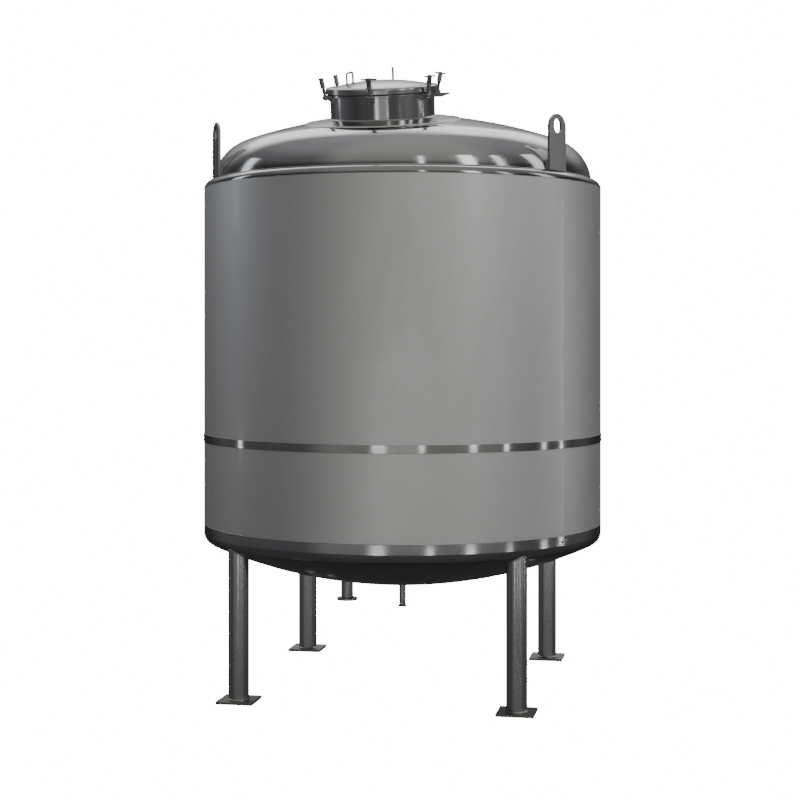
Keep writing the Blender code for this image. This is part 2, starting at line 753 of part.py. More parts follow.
def cover_crown(lift, steps):
    """Arc of the cover's dish from its pole to its land, moved up by lift along its radius."""
    rise = COVER_CROWN_TOP - COVER_TOP
    crown = (COVER_LAND ** 2 + rise ** 2) / (2 * rise)
    turn = math.degrees(math.asin(COVER_LAND / crown))
    points = arc((0.0, COVER_CROWN_TOP - crown), crown + lift, 90.0, 90.0 - turn, steps)
    points[0] = (0.0, points[0][1])
    return points


def cover_points():
    """Profile of the cover: a deep rim, a flat land and a shallow dish inside it."""
    rim_inner = COVER_RADIUS - COVER_RIM_WIDTH
    rim = [(COVER_RADIUS - COVER_EDGE, COVER_TOP), (COVER_RADIUS, COVER_TOP - COVER_EDGE),
           (COVER_RADIUS, COVER_BOTTOM), (rim_inner, COVER_BOTTOM),
           (rim_inner, COVER_TOP - COVER_THICKNESS)]
    return cover_crown(0.0, 6) + rim + cover_crown(-COVER_THICKNESS, 3)[::-1]


def add_cover_space(parent, matrix):
    """Adds the cutter that trims what is seated on the cover: the cover's outside, grown by the gap."""
    edge = [(COVER_RADIUS - COVER_EDGE, COVER_TOP + GAP), (COVER_RADIUS + GAP, COVER_TOP + GAP - COVER_EDGE),
            (COVER_RADIUS + GAP, COVER_BOTTOM - 0.01), (0.0, COVER_BOTTOM - 0.01)]
    space = turned_cutter("cover_space", cover_crown(GAP, 6) + edge, NECK_STEPS)
    place_in(space, parent, matrix)
    return space


def build_cover(manway):
    """Makes the cover, its handle and its hinge leaf, carried by an empty on the hinge's axis."""
    axis = station(HINGE_ANGLE, HINGE_RADIUS, HINGE_HEIGHT)
    hinge = add_empty("cover_hinge_axis", axis, manway)
    back = axis.inverted()
    cover = turned_part("manway_cover", cover_points(), False, NECK_STEPS, POLISHED, 0.15)
    apply_modifiers(cover)
    place_in(cover, hinge, back)
    shade_round(cover)
    space = add_cover_space(hinge, back)
    build_cover_handle(hinge, back, space)
    build_hinge_leaf(hinge, space)


def build_cover_handle(hinge, back, space):
    """Makes the looped handle, whose feet stand on the cover's dish."""
    half = HANDLE_HALF_LENGTH
    top = HANDLE_TOP - HANDLE_ROD_RADIUS
    far_corner = arc((half - HANDLE_CORNER, top - HANDLE_CORNER), HANDLE_CORNER, 0.0, 90.0, 5)
    near_corner = [(-y, z) for y, z in far_corner[::-1]]
    route = [(half, COVER_TOP)] + far_corner + near_corner + [(-half, COVER_TOP)]
    points = [(HANDLE_OFFSET, y, z) for y, z in route]
    handle = add_part("cover_handle", rod_mesh("cover_handle", points, HANDLE_ROD_RADIUS), POLISHED, 0.2)
    place_in(handle, hinge, back)
    add_boolean(handle, space, "DIFFERENCE")
    apply_modifiers(handle)
    shade_round(handle)


def build_hinge_leaf(hinge, space):
    """Makes the hinge leaf: a knuckle on the pin, an arm to the cover's rim and a post on the arm."""
    mesh = cylinder_mesh("cover_hinge_leaf", HINGE_KNUCKLE_RADIUS, HINGE_KNUCKLE_WIDTH, HUB_STEPS)
    leaf = add_part("cover_hinge_leaf", mesh, POLISHED, 0.25)
    place_in(leaf, hinge)
    length = HINGE_RADIUS - COVER_RADIUS + 0.010
    arm = add_cutter("hinge_arm", box_mesh("hinge_arm", (length, HINGE_ARM_THICKNESS, HINGE_ARM_WIDTH)))
    place_in(arm, hinge, Matrix.Translation((-length / 2, -HINGE_ARM_THICKNESS / 2, 0.0)))
    length = HINGE_POST_TOP - HINGE_HEIGHT + HINGE_ARM_THICKNESS / 2
    post = add_cutter("hinge_post", cylinder_mesh("hinge_post", HINGE_POST_RADIUS, length, ROD_STEPS))
    place_in(post, hinge, Matrix.Translation((-HINGE_POST_SETBACK - HINGE_BORE_RADIUS,
                                              HINGE_POST_TOP - HINGE_HEIGHT - length / 2, 0.0))
             @ Matrix.Rotation(math.radians(90.0), 4, "X"))
    bore = add_cutter("hinge_bore", cylinder_mesh("hinge_bore", HINGE_BORE_RADIUS, 0.1, ROD_STEPS))
    place_in(bore, hinge)
    add_boolean(leaf, arm, "UNION")
    add_boolean(leaf, post, "UNION")
    add_boolean(leaf, bore, "DIFFERENCE")
    add_boolean(leaf, space, "DIFFERENCE")
    apply_modifiers(leaf)
    shade_round(leaf)


def swing_bolt_mesh():
    """Makes a swing bolt along +Y from its pivot: an eye, and a rod that rises from it."""
    eye = add_cutter("bolt_eye", cylinder_mesh("bolt_eye", BOLT_EYE_RADIUS, BOLT_EYE_WIDTH, HUB_STEPS))
    length = BOLT_LENGTH - BOLT_BORE_RADIUS - 0.002
    rod = add_cutter("bolt_rod", cylinder_mesh("bolt_rod", BOLT_RADIUS, length, ROD_STEPS))
    rod.matrix_world = (Matrix.Translation((0.0, BOLT_LENGTH - length / 2, 0.0))
                        @ Matrix.Rotation(math.radians(90.0), 4, "X"))
    bore = add_cutter("bolt_bore", cylinder_mesh("bolt_bore", BOLT_BORE_RADIUS, 0.1, ROD_STEPS))
    add_boolean(eye, rod, "UNION")
    add_boolean(eye, bore, "DIFFERENCE")
    return evaluated_mesh(eye)


def handle_nut_mesh():
    """Makes a long capped nut along +Y, with a cross bar through its head."""
    points = [
        (0.0, NUT_TOP), (NUT_HUB_RADIUS - 0.002, NUT_TOP), (NUT_HUB_RADIUS, NUT_TOP - 0.002),
        (NUT_HUB_RADIUS, NUT_START + NUT_FLANGE_THICKNESS),
        (NUT_FLANGE_RADIUS, NUT_START + NUT_FLANGE_THICKNESS), (NUT_FLANGE_RADIUS, NUT_START),
        (NUT_BORE_RADIUS, NUT_START), (NUT_BORE_RADIUS, NUT_BORE_END), (0.0, NUT_BORE_END),
    ]
    upright = Matrix.Rotation(math.radians(-90.0), 4, "X")
    nut = turned_cutter("nut_body", points, HUB_STEPS)
    nut.matrix_world = upright
    bar = add_cutter("nut_bar", cylinder_mesh("nut_bar", NUT_BAR_RADIUS, NUT_BAR_LENGTH, ROD_STEPS))
    bar.location = (0.0, NUT_BAR_HEIGHT, 0.0)
    bore = add_cutter("nut_bore", cylinder_mesh("nut_bore", NUT_BORE_RADIUS, NUT_BORE_END, HUB_STEPS))
    bore.matrix_world = Matrix.Translation((0.0, NUT_BORE_END / 2, 0.0)) @ upright
    add_boolean(nut, bar, "UNION")
    add_boolean(nut, bore, "DIFFERENCE")
    mesh = evaluated_mesh(nut)
    mesh.transform(upright)
    return mesh


def build_swing_bolts(manway):
    """Makes the swing bolts and their nuts, each pair carried by an empty on its pivot's axis."""
    bolt_mesh = swing_bolt_mesh()
    nut_mesh = handle_nut_mesh()
    lean = Matrix.Rotation(math.radians(-BOLT_LEAN), 4, "Z")
    for number, (angle, turn) in enumerate(zip(BOLT_ANGLES, NUT_TURNS), start=1):
        place = station(angle, BOLT_CIRCLE_RADIUS, BOLT_PIVOT_HEIGHT) @ lean
        pivot = add_empty(f"bolt_axis_{number}", place, manway)
        bolt = add_part(f"swing_bolt_{number}", bolt_mesh.copy(), POLISHED, 0.2)
        place_in(bolt, pivot)
        shade_round(bolt)
        nut = add_part(f"handle_nut_{number}", nut_mesh.copy(), POLISHED, 0.2)
        place_in(nut, pivot, Matrix.Rotation(math.radians(turn), 4, "Y"))
        shade_round(nut)


def build_manway():
    """Makes the manway's pieces in its own frame."""
    manway = add_empty("manway_frame", manway_matrix())
    build_neck(manway)
    build_pad(manway)
    build_gasket(manway)
    build_cover(manway)
    build_swing_bolts(manway)


def build_tank():
    """Makes the whole tank from the floor up."""
    build_legs()
    build_bottom_head()
    build_outlets()
    build_vessel()
    build_jacket()
    build_closure_ring()
    build_roof(manway_matrix())
    build_lugs()
    build_manway()


build_tank()
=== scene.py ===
"""Looks of a vertical stainless storage tank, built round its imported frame.

The pieces are in metres in the frame of the solids: +Z is up, the origin is on the floor on the axis of the
tank, and the front is -Y. A bearing is an angle in degrees from the front, -Y, towards +X.
"""

import logging
import math
from dataclasses import dataclass, replace
from enum import Enum
from functools import cache
from typing import Iterable, Optional, Sequence

import bmesh
import bpy
from mathutils import Matrix, Vector


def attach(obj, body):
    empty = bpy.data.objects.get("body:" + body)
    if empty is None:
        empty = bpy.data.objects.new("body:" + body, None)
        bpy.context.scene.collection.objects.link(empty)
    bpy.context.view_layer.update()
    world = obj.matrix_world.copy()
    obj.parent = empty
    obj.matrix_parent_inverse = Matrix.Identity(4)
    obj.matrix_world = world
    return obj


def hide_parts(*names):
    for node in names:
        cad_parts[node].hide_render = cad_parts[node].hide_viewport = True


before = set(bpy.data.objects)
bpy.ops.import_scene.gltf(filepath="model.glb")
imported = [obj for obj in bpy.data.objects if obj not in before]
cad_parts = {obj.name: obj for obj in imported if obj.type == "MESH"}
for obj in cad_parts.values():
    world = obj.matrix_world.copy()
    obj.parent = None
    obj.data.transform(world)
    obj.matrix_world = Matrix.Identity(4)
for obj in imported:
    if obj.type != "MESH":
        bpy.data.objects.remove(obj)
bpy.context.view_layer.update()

Point2 = tuple[float, float]
Colour = tuple[float, float, float]
Socket = bpy.types.NodeSocket
Piece = bpy.types.Object

log = logging.getLogger("tank")

# Shapes

SHARP_ANGLE = math.radians(35.0)
CORNER_SHARE = 0.45
CORNER_STEPS = (0.0, 0.33, 0.67, 1.0)
THIRDS = (0.0, 1 / 3, 2 / 3, 1.0)
STAY = Matrix.Identity(4)


class Body(Enum):
    """Rigid bodies that the pieces ride on."""

    ROOT = "root"
    COVER = "cover"
    BOLT = "bolt_{}"


def arc(centre: Point2, radius: float, start: float, end: float, count: int) -> list[Point2]:
    """Points of an arc in a plane.

    Args:
        centre: centre of the arc.
        radius: its radius.
        start: angle of the first point, in degrees.
        end: angle of the last point, in degrees.
        count: number of segments.

    Returns:
        The points in order, one more than the segments.
    """
    angles = (math.radians(start + (end - start) * i / count) for i in range(count + 1))
    return [(centre[0] + radius * math.cos(a), centre[1] + radius * math.sin(a)) for a in angles]


def oblong(left: float, right: float, first: float, last: float) -> list[Point2]:
    """Corners of a rectangle, with both corners at the first height before those at the last."""
    return [(left, first), (right, first), (right, last), (left, last)]


def rounded(points: Sequence[Point2], radius: float, corners: Optional[Iterable[int]] = None,
            steps: Sequence[float] = CORNER_STEPS) -> list[Point2]:
    """Rounds corners of a closed outline.

    Args:
        points: corners of the outline, in order.
        radius: how far the rounding reaches along each side.
        corners: indices of the corners that are rounded, or None for all.
        steps: places of the points along a rounded corner, from 0 to 1.

    Returns:
        The rounded outline.
    """
    chosen = set(range(len(points)) if corners is None else corners)
    result: list[Point2] = []
    for i, corner in enumerate(points):
        if i not in chosen:
            result.append(corner)
            continue
        here = Vector(corner)
        before, after = Vector(points[i - 1]) - here, Vector(points[(i + 1) % len(points)]) - here
        reach = min(radius, before.length * CORNER_SHARE, after.length * CORNER_SHARE)
        first, last = here + before.normalized() * reach, here + after.normalized() * reach
        for t in steps:
            spot = first * (1 - t) ** 2 + here * (2 * t * (1 - t)) + last * t ** 2
            result.append((spot.x, spot.y))
    return result


def shade(obj: Piece) -> None:
    """Shades an object smoothly. Large faces weigh more, so that broken edges don't tint them."""
    obj.data.shade_smooth()
    obj.data.set_sharp_from_angle(angle=SHARP_ANGLE)
    obj.modifiers.new("Even shading", "WEIGHTED_NORMAL").keep_sharp = True


def link(name: str, shape: bmesh.types.BMesh, matrix: Matrix) -> Piece:
    """Makes a smooth-shaded object from a bmesh and puts its place into its vertices.

    Args:
        name: name of the object.
        shape: the mesh, which is freed.
        matrix: where the mesh goes.

    Returns:
        The object, linked to the scene.
    """
    bmesh.ops.recalc_face_normals(shape, faces=shape.faces)
    mesh = bpy.data.meshes.new(name)
    shape.to_mesh(mesh)
    shape.free()
    mesh.transform(matrix)
    obj = bpy.data.objects.new(name, mesh)
    bpy.context.scene.collection.objects.link(obj)
    shade(obj)
    return obj


def turned(name: str, section: Sequence[Point2], steps: int, matrix: Matrix = STAY, start: float = 0.0,
           sweep: float = 360.0) -> Piece:
    """Turns a closed section of (radius, height) points round Z.

    Args:
        name: name of the object.
        section: the closed section. A point on the axis becomes a pole.
        steps: segments of the sweep.
        matrix: where the piece goes.
        start: angle of the first column from +X, in degrees.
        sweep: angle swept, in degrees.

    Returns:
        The object.
    """
    shape = bmesh.new()
    full = sweep >= 360.0
    columns = []
    poles: dict[int, bmesh.types.BMVert] = {}
    for step in range(steps if full else steps + 1):
        angle = math.radians(start + sweep * step / steps)
        column = []
        for i, (radius, height) in enumerate(section):
            if radius < 1e-7:
                if i not in poles:
                    poles[i] = shape.verts.new((0.0, 0.0, height))
                column.append(poles[i])
            else:
                column.append(shape.verts.new((radius * math.cos(angle), radius * math.sin(angle), height)))
        columns.append(column)
    for left, right in zip(columns, columns[1:] + columns[:1] if full else columns[1:]):
        for i in range(len(section)):
            k = (i + 1) % len(section)
            corners = list(dict.fromkeys((left[i], left[k], right[k], right[i])))
            if len(corners) > 2:
                shape.faces.new(corners)
    if not full:
        shape.faces.new(columns[0])
        shape.faces.new(columns[-1])
    return link(name, shape, matrix)


def plate(name: str, outlines: Sequence[Sequence[Point2]], thickness: float, edge: float,
          matrix: Matrix) -> Piece:
    """Makes a flat plate with rounded edges from a filled curve in the XY plane.

    Args:
        name: name of the object.
        outlines: the outline, and after it the holes.
        thickness: thickness along Z, centred on the plane.
        edge: radius of the rounded edges.
        matrix: where the plate goes.

    Returns:
        The object.
    """
    curve = bpy.data.curves.new(name, "CURVE")
    curve.dimensions = "2D"
    curve.fill_mode = "BOTH"
    curve.extrude = thickness / 2 - edge
    curve.bevel_depth = edge
    curve.bevel_resolution = 1
    curve.offset = -edge
    for outline in outlines:
        draw(curve, ((x, y, 0.0) for x, y in outline), True)
    return from_curve(name, curve, matrix)


def rod(name: str, points: Iterable[Vector], radius: float, matrix: Matrix = STAY,
        closed: bool = False) -> Piece:
    """Makes a round rod or bead along a line of points.

    Args:
        name: name of the object.
        points: the line.
        radius: radius of the rod.
        matrix: where the rod goes.
        closed: whether the line is a loop.

    Returns:
        The object.
    """
    curve = bpy.data.curves.new(name, "CURVE")
    curve.dimensions = "3D"
    curve.bevel_depth = radius
    curve.bevel_resolution = 4
    curve.use_fill_caps = not closed
    draw(curve, points, closed)
    return from_curve(name, curve, matrix)


def draw(curve: bpy.types.Curve, points: Iterable[Sequence[float]], closed: bool) -> None:
    """Adds a line of points to a curve."""
    places = list(points)
    spline = curve.splines.new("POLY")
    spline.points.add(len(places) - 1)
    spline.use_cyclic_u = closed
    for point, place in zip(spline.points, places):
        point.co = (*place, 1.0)


def evaluated(obj: Piece) -> bpy.types.Mesh:
    """Makes a mesh of an object as its modifiers or its curve leave it."""
    bpy.context.view_layer.update()
    graph = bpy.context.evaluated_depsgraph_get()
    return bpy.data.meshes.new_from_object(obj.evaluated_get(graph), depsgraph=graph)


def from_curve(name: str, curve: bpy.types.Curve, matrix: Matrix) -> Piece:
    """Turns a curve into a closed mesh object and removes the curve.

    Args:
        name: name of the object.
        curve: the curve.
        matrix: where the piece goes.

    Returns:
        The object.
    """
    holder = bpy.data.objects.new(name, curve)
    bpy.context.scene.collection.objects.link(holder)
    mesh = evaluated(holder)
    bpy.data.objects.remove(holder, do_unlink=True)
    bpy.data.curves.remove(curve)
    shape = bmesh.new()
    shape.from_mesh(mesh)
    bpy.data.meshes.remove(mesh)
    bmesh.ops.remove_doubles(shape, verts=shape.verts, dist=0.00002)
    bmesh.ops.dissolve_degenerate(shape, edges=shape.edges, dist=0.00001)
    return link(name, shape, matrix)


def carve(obj: Piece, cutters: Sequence[Piece]) -> None:
    """Cuts an object with others, which are removed.

    Args:
        obj: the object that is cut.
        cutters: the cutting objects.
    """
    obj.modifiers.clear()
    for cutter in cutters:
        modifier = obj.modifiers.new("Cut", "BOOLEAN")
        modifier.operation = "DIFFERENCE"
        modifier.solver = "EXACT"
        modifier.object = cutter
    mesh = evaluated(obj)
    obj.modifiers.clear()
    old, obj.data = obj.data, mesh
    bpy.data.meshes.remove(old)
    shade(obj)
    for cutter in cutters:
        old = cutter.data
        bpy.data.objects.remove(cutter, do_unlink=True)
        bpy.data.meshes.remove(old)


def bearing(angle: float) -> Vector:
    """Unit vector that points outwards at a bearing."""
    turn = math.radians(angle)
    return Vector((math.sin(turn), -math.cos(turn), 0.0))


def station(angle: float, radius: float = 0.0, height: float = 0.0, across: bool = False) -> Matrix:
    """Frame of an upright plate, with Y up.

    Args:
        angle: bearing of the plate.
        radius: distance of its origin from the axis.
        height: height of its origin.
        across: whether X points sideways and Z outwards. Otherwise X points outwards and Z sideways.

    Returns:
        The matrix.
    """
    outwards, upwards = bearing(angle), Vector((0.0, 0.0, 1.0))
    radial = (outwards, upwards, outwards.cross(upwards))
    axes = (upwards.cross(outwards), upwards, outwards) if across else radial
    matrix = Matrix(axes).transposed().to_4x4()
    matrix.translation = outwards * radius + upwards * height
    return matrix


# Finishes


class Grain(Enum):
    """Directions in which a steel surface is ground."""

    NONE = (1.0, 1.0, 1.0)
    LEVEL = (1.0, 1.0, 40.0)
    UPRIGHT = (40.0, 40.0, 1.0)


class Graph:
    """Short ways to add nodes to a shader tree."""

    def __init__(self, tree: bpy.types.NodeTree) -> None:
        """Keeps the tree.

        Args:
            tree: the node tree that nodes are added to.
        """
        self.tree = tree

    def node(self, kind: str, **settings: object) -> bpy.types.Node:
        """Adds a node and sets its properties.

        Args:
            kind: type of the node.
            settings: properties of the node.

        Returns:
            The node.
        """
        made = self.tree.nodes.new(kind)
        for key, value in settings.items():
            setattr(made, key, value)
        return made

    def feed(self, target: Socket, source: object) -> None:
        """Links a socket to another, or sets its value.

        Args:
            target: the socket that is fed.
            source: an output socket, or a value.
        """
        if isinstance(source, Socket):
            self.tree.links.new(source, target)
        else:
            target.default_value = source

    def added(self, kind: str, values: dict[object, object], **settings: object) -> bpy.types.Node:
        """Adds a node, sets its properties and feeds its sockets.

        Args:
            kind: type of the node.
            values: what goes into each socket, by name or index.
            settings: properties of the node.

        Returns:
            The node.
        """
        made = self.node(kind, **settings)
        for key, value in values.items():
            self.feed(made.inputs[key], value)
        return made

    def place(self) -> Socket:
        """Adds the place on the object."""
        return self.node("ShaderNodeTexCoord").outputs["Object"]

    def math(self, operation: str, *values: object, clamp: bool = False) -> Socket:
        """Adds a Math node and returns its output."""
        made = self.added("ShaderNodeMath", dict(enumerate(values)), operation=operation, use_clamp=clamp)
        return made.outputs[0]

    def noise(self, vector: object, scale: object, detail: float = 3.0, rough: float = 0.55,
              distortion: float = 0.0) -> Socket:
        """Adds a noise texture and returns its value."""
        return self.added("ShaderNodeTexNoise", {"Vector": vector, "Scale": scale, "Detail": detail,
                                                 "Roughness": rough, "Distortion": distortion}).outputs["Fac"]

    def bump(self, strength: object, height: object, distance: float = 0.001) -> Socket:
        """Adds a bump and returns its normal."""
        values = {"Distance": distance, "Strength": strength, "Height": height}
        return self.added("ShaderNodeBump", values).outputs[0]

    def stretch(self, vector: object, scale: Sequence[float]) -> Socket:
        """Scales a vector along each axis."""
        return self.added("ShaderNodeMapping", {"Vector": vector, "Scale": scale}).outputs[0]

    def remap(self, value: object, low: float, high: float, to_low: float, to_high: float) -> Socket:
        """Maps a range of values onto another, clamped."""
        values = dict(enumerate((value, low, high, to_low, to_high)))
        made = self.added("ShaderNodeMapRange", values, clamp=True, interpolation_type="SMOOTHSTEP")
        return made.outputs[0]

    def mix(self, factor: object, first: object, second: object) -> Socket:
        """Mixes two colours."""
        first, second = ((*item, 1.0) if isinstance(item, tuple) else item for item in (first, second))
        values = {"Factor": factor, 6: first, 7: second}
        return self.added("ShaderNodeMix", values, data_type="RGBA").outputs[2]

    def seen_apart(self, kind: str, hidden: bpy.types.Node, seen: bpy.types.Node) -> None:
        """Ends a tree with one shader for the camera and another for all other rays.

        Args:
            kind: type of the output node.
            hidden: the shader for all other rays.
            seen: the shader for the camera.
        """
        ray = self.node("ShaderNodeLightPath").outputs["Is Camera Ray"]
        mixed = self.added("ShaderNodeMixShader", {0: ray, 1: hidden.outputs[0], 2: seen.outputs[0]})
        self.added(kind, {0: mixed.outputs[0]})


def open_group(name: str, inputs: dict[str, float], outputs: dict[str, str]
               ) -> tuple[Graph, bpy.types.Node, bpy.types.Node]:
    """Starts a shader node group.

    Args:
        name: name of the group.
        inputs: value sockets that go in, with their defaults.
        outputs: sockets that come out, each with its kind.

    Returns:
        The group's graph, its input node and its output node.
    """
    tree = bpy.data.node_groups.new(name, "ShaderNodeTree")
    for label, value in inputs.items():
        socket = tree.interface.new_socket(label, in_out="INPUT", socket_type="NodeSocketFloat")
        socket.default_value = value
    for label, kind in outputs.items():
        tree.interface.new_socket(label, in_out="OUTPUT", socket_type=f"NodeSocket{kind}")
    graph = Graph(tree)
    return graph, graph.node("NodeGroupInput"), graph.node("NodeGroupOutput")


@cache
def grain_group(grain: Grain) -> bpy.types.NodeTree:
    """Fine ground lines: a normal and a value that varies the roughness.

    Args:
        grain: direction of the lines.

    Returns:
        The group, built once.
    """
    graph, into, out = open_group(f"grain_{grain.name.lower()}", {"Scale": 60.0, "Depth": 0.1},
                                  {"Normal": "Vector", "Variation": "Float"})
    place = graph.place()
    lines = graph.noise(graph.stretch(place, grain.value), into.outputs["Scale"], 5.0, 0.7)
    soft = graph.noise(place, 5.0, 4.0)
    total = graph.math("ADD", graph.math("MULTIPLY", lines, 0.6), graph.math("MULTIPLY", soft, 0.4))
    graph.feed(out.inputs["Normal"], graph.bump(into.outputs["Depth"], lines))
    graph.feed(out.inputs["Variation"], graph.remap(total, 0.3, 0.7, -1.0, 1.0))
    return graph.tree


@cache
def wear_group() -> bpy.types.NodeTree:
    """Handling marks, and dust where the steel lies flat: two masks from 0 to 1."""
    graph, into, out = open_group("wear", {"Scale": 4.0}, {"Smudge": "Float", "Dust": "Float"})
    place = graph.place()
    patches = graph.noise(graph.stretch(place, (1.0, 1.0, 0.45)), into.outputs["Scale"], 6.0, 0.5, 0.6)
    graph.feed(out.inputs["Smudge"], graph.remap(patches, 0.48, 0.72, 0.0, 1.0))
    normal = graph.node("ShaderNodeNewGeometry").outputs["Normal"]
    upward = graph.added("ShaderNodeSeparateXYZ", {0: normal}).outputs["Z"]
    specks = graph.remap(graph.noise(place, 45.0, 6.0, 0.75), 0.5, 0.68, 0.0, 1.0)
    graph.feed(out.inputs["Dust"], graph.math("MULTIPLY", graph.remap(upward, 0.75, 1.0, 0.0, 1.0), specks))
    return graph.tree


@cache
def sheet_group() -> bpy.types.NodeTree:
    """Slight waves of thin rolled sheet, as a normal."""
    graph, into, out = open_group("sheet", {"Depth": 0.15}, {"Normal": "Vector"})
    waves = graph.noise(graph.stretch(graph.place(), (1.0, 1.0, 0.5)), 2.2, 1.5)
    graph.feed(out.inputs["Normal"], graph.bump(into.outputs["Depth"], waves, 0.01))
    return graph.tree


@cache
def pits_group() -> bpy.types.NodeTree:
    """Ripples of a weld bead and grains of rubber: a normal and a value."""
    graph, into, out = open_group("pits", {"Scale": 300.0, "Depth": 0.4},
                                  {"Normal": "Vector", "Value": "Float"})
    cells = graph.noise(graph.place(), into.outputs["Scale"], 3.0, 0.5)
    graph.feed(out.inputs["Normal"], graph.bump(into.outputs["Depth"], cells))
    graph.feed(out.inputs["Value"], cells)
    return graph.tree


DUST_COLOUR = (0.32, 0.31, 0.29)
DUST_SHARE = 0.12
DUST_ROUGHNESS = 0.10
SMUDGE_SHARE = 0.5
FILM_ROUGHNESS = 0.13


@dataclass(frozen=True)
class Surface:
    """What all finishes have.

    Attributes:
        name: name of the material.
        colour: its main colour.
        patches: colour of its handled, heated or chalky patches.
        roughness: roughness where it is clean.
    """

    name: str
    colour: Colour
    patches: Colour
    roughness: float

    def start(self, metallic: float) -> tuple[bpy.types.Material, Graph, bpy.types.Node]:
        """Makes the plain material.

        Args:
            metallic: 1 for metal, otherwise 0.

        Returns:
            The material, its graph and its shader.
        """
        material = bpy.data.materials.new(self.name)
        material.use_nodes = True
        material.diffuse_color = (*self.colour, 1.0)
        shader = next(n for n in material.node_tree.nodes if n.type == "BSDF_PRINCIPLED")
        shader.inputs["Metallic"].default_value = metallic
        return material, Graph(material.node_tree), shader


@dataclass(frozen=True)
class Steel(Surface):
    """Stainless steel, ground or polished.

    Attributes:
        spread: how much the grain and the smudges vary the roughness.
        grain: direction of the grinding.
        scale: fineness of the grinding.
        depth: depth of the grinding.
        wave: how far thin sheet waves, or 0.
        film: share of a thin clear film on the steel, or 0.
    """

    spread: float
    grain: Grain
    scale: float
    depth: float
    wave: float = 0.0
    film: float = 0.0

    def build(self) -> bpy.types.Material:
        """Makes the material."""
        material, graph, shader = self.start(1.0)
        grain = graph.added("ShaderNodeGroup", {}, node_tree=grain_group(self.grain))
        graph.feed(grain.inputs["Scale"], self.scale)
        graph.feed(grain.inputs["Depth"], self.depth)
        wear = graph.node("ShaderNodeGroup", node_tree=wear_group())
        smudge, dust = wear.outputs["Smudge"], wear.outputs["Dust"]
        colour = graph.mix(graph.math("MULTIPLY", smudge, SMUDGE_SHARE), self.colour, self.patches)
        colour = graph.mix(graph.math("MULTIPLY", dust, DUST_SHARE), colour, DUST_COLOUR)
        graph.feed(shader.inputs["Base Color"], colour)
        rough = graph.math("MULTIPLY_ADD", grain.outputs["Variation"], self.spread, self.roughness)
        rough = graph.math("ADD", rough, graph.math("MULTIPLY", smudge, self.spread))
        rough = graph.math("ADD", rough, graph.math("MULTIPLY", dust, DUST_ROUGHNESS), clamp=True)
        graph.feed(shader.inputs["Roughness"], rough)
        if self.film:
            shader.inputs["Coat Weight"].default_value = self.film
            shader.inputs["Coat Roughness"].default_value = FILM_ROUGHNESS
        normal = grain.outputs["Normal"]
        if self.wave:
            sheet = graph.node("ShaderNodeGroup", node_tree=sheet_group())
            sheet.inputs["Depth"].default_value = self.wave
            values = {0: sheet.outputs["Normal"], 1: normal}
            both = graph.added("ShaderNodeVectorMath", values, operation="ADD").outputs[0]
            normal = graph.added("ShaderNodeVectorMath", {0: both}, operation="NORMALIZE").outputs[0]
        graph.feed(shader.inputs["Normal"], normal)
        return material


@dataclass(frozen=True)
class Bead(Surface):
    """Weld metal, a little rippled and tinted by heat."""

    def build(self) -> bpy.types.Material:
        """Makes the material."""
        material, graph, shader = self.start(1.0)
        pits = graph.node("ShaderNodeGroup", node_tree=pits_group())
        pits.inputs["Scale"].default_value = 260.0
        value = pits.outputs["Value"]
        graph.feed(shader.inputs["Base Color"], graph.mix(value, self.colour, self.patches))
        rough = graph.remap(value, 0.3, 0.7, self.roughness, self.roughness + 0.15)
        graph.feed(shader.inputs["Roughness"], rough)
        graph.feed(shader.inputs["Normal"], pits.outputs["Normal"])
        return material


@dataclass(frozen=True)
class Rubber(Surface):
    """Dark moulded rubber."""

    def build(self) -> bpy.types.Material:
        """Makes the material."""
        material, graph, shader = self.start(0.0)
        pits = graph.node("ShaderNodeGroup", node_tree=pits_group())
        pits.inputs["Scale"].default_value = 900.0
        pits.inputs["Depth"].default_value = 0.2
        wear = graph.node("ShaderNodeGroup", node_tree=wear_group())
        wear.inputs["Scale"].default_value = 18.0
        graph.feed(shader.inputs["Base Color"], graph.mix(wear.outputs["Smudge"], self.colour, self.patches))
        rough = graph.remap(pits.outputs["Value"], 0.3, 0.7, self.roughness - 0.1, self.roughness + 0.1)
        graph.feed(shader.inputs["Roughness"], rough)
        graph.feed(shader.inputs["Normal"], pits.outputs["Normal"])
        return material


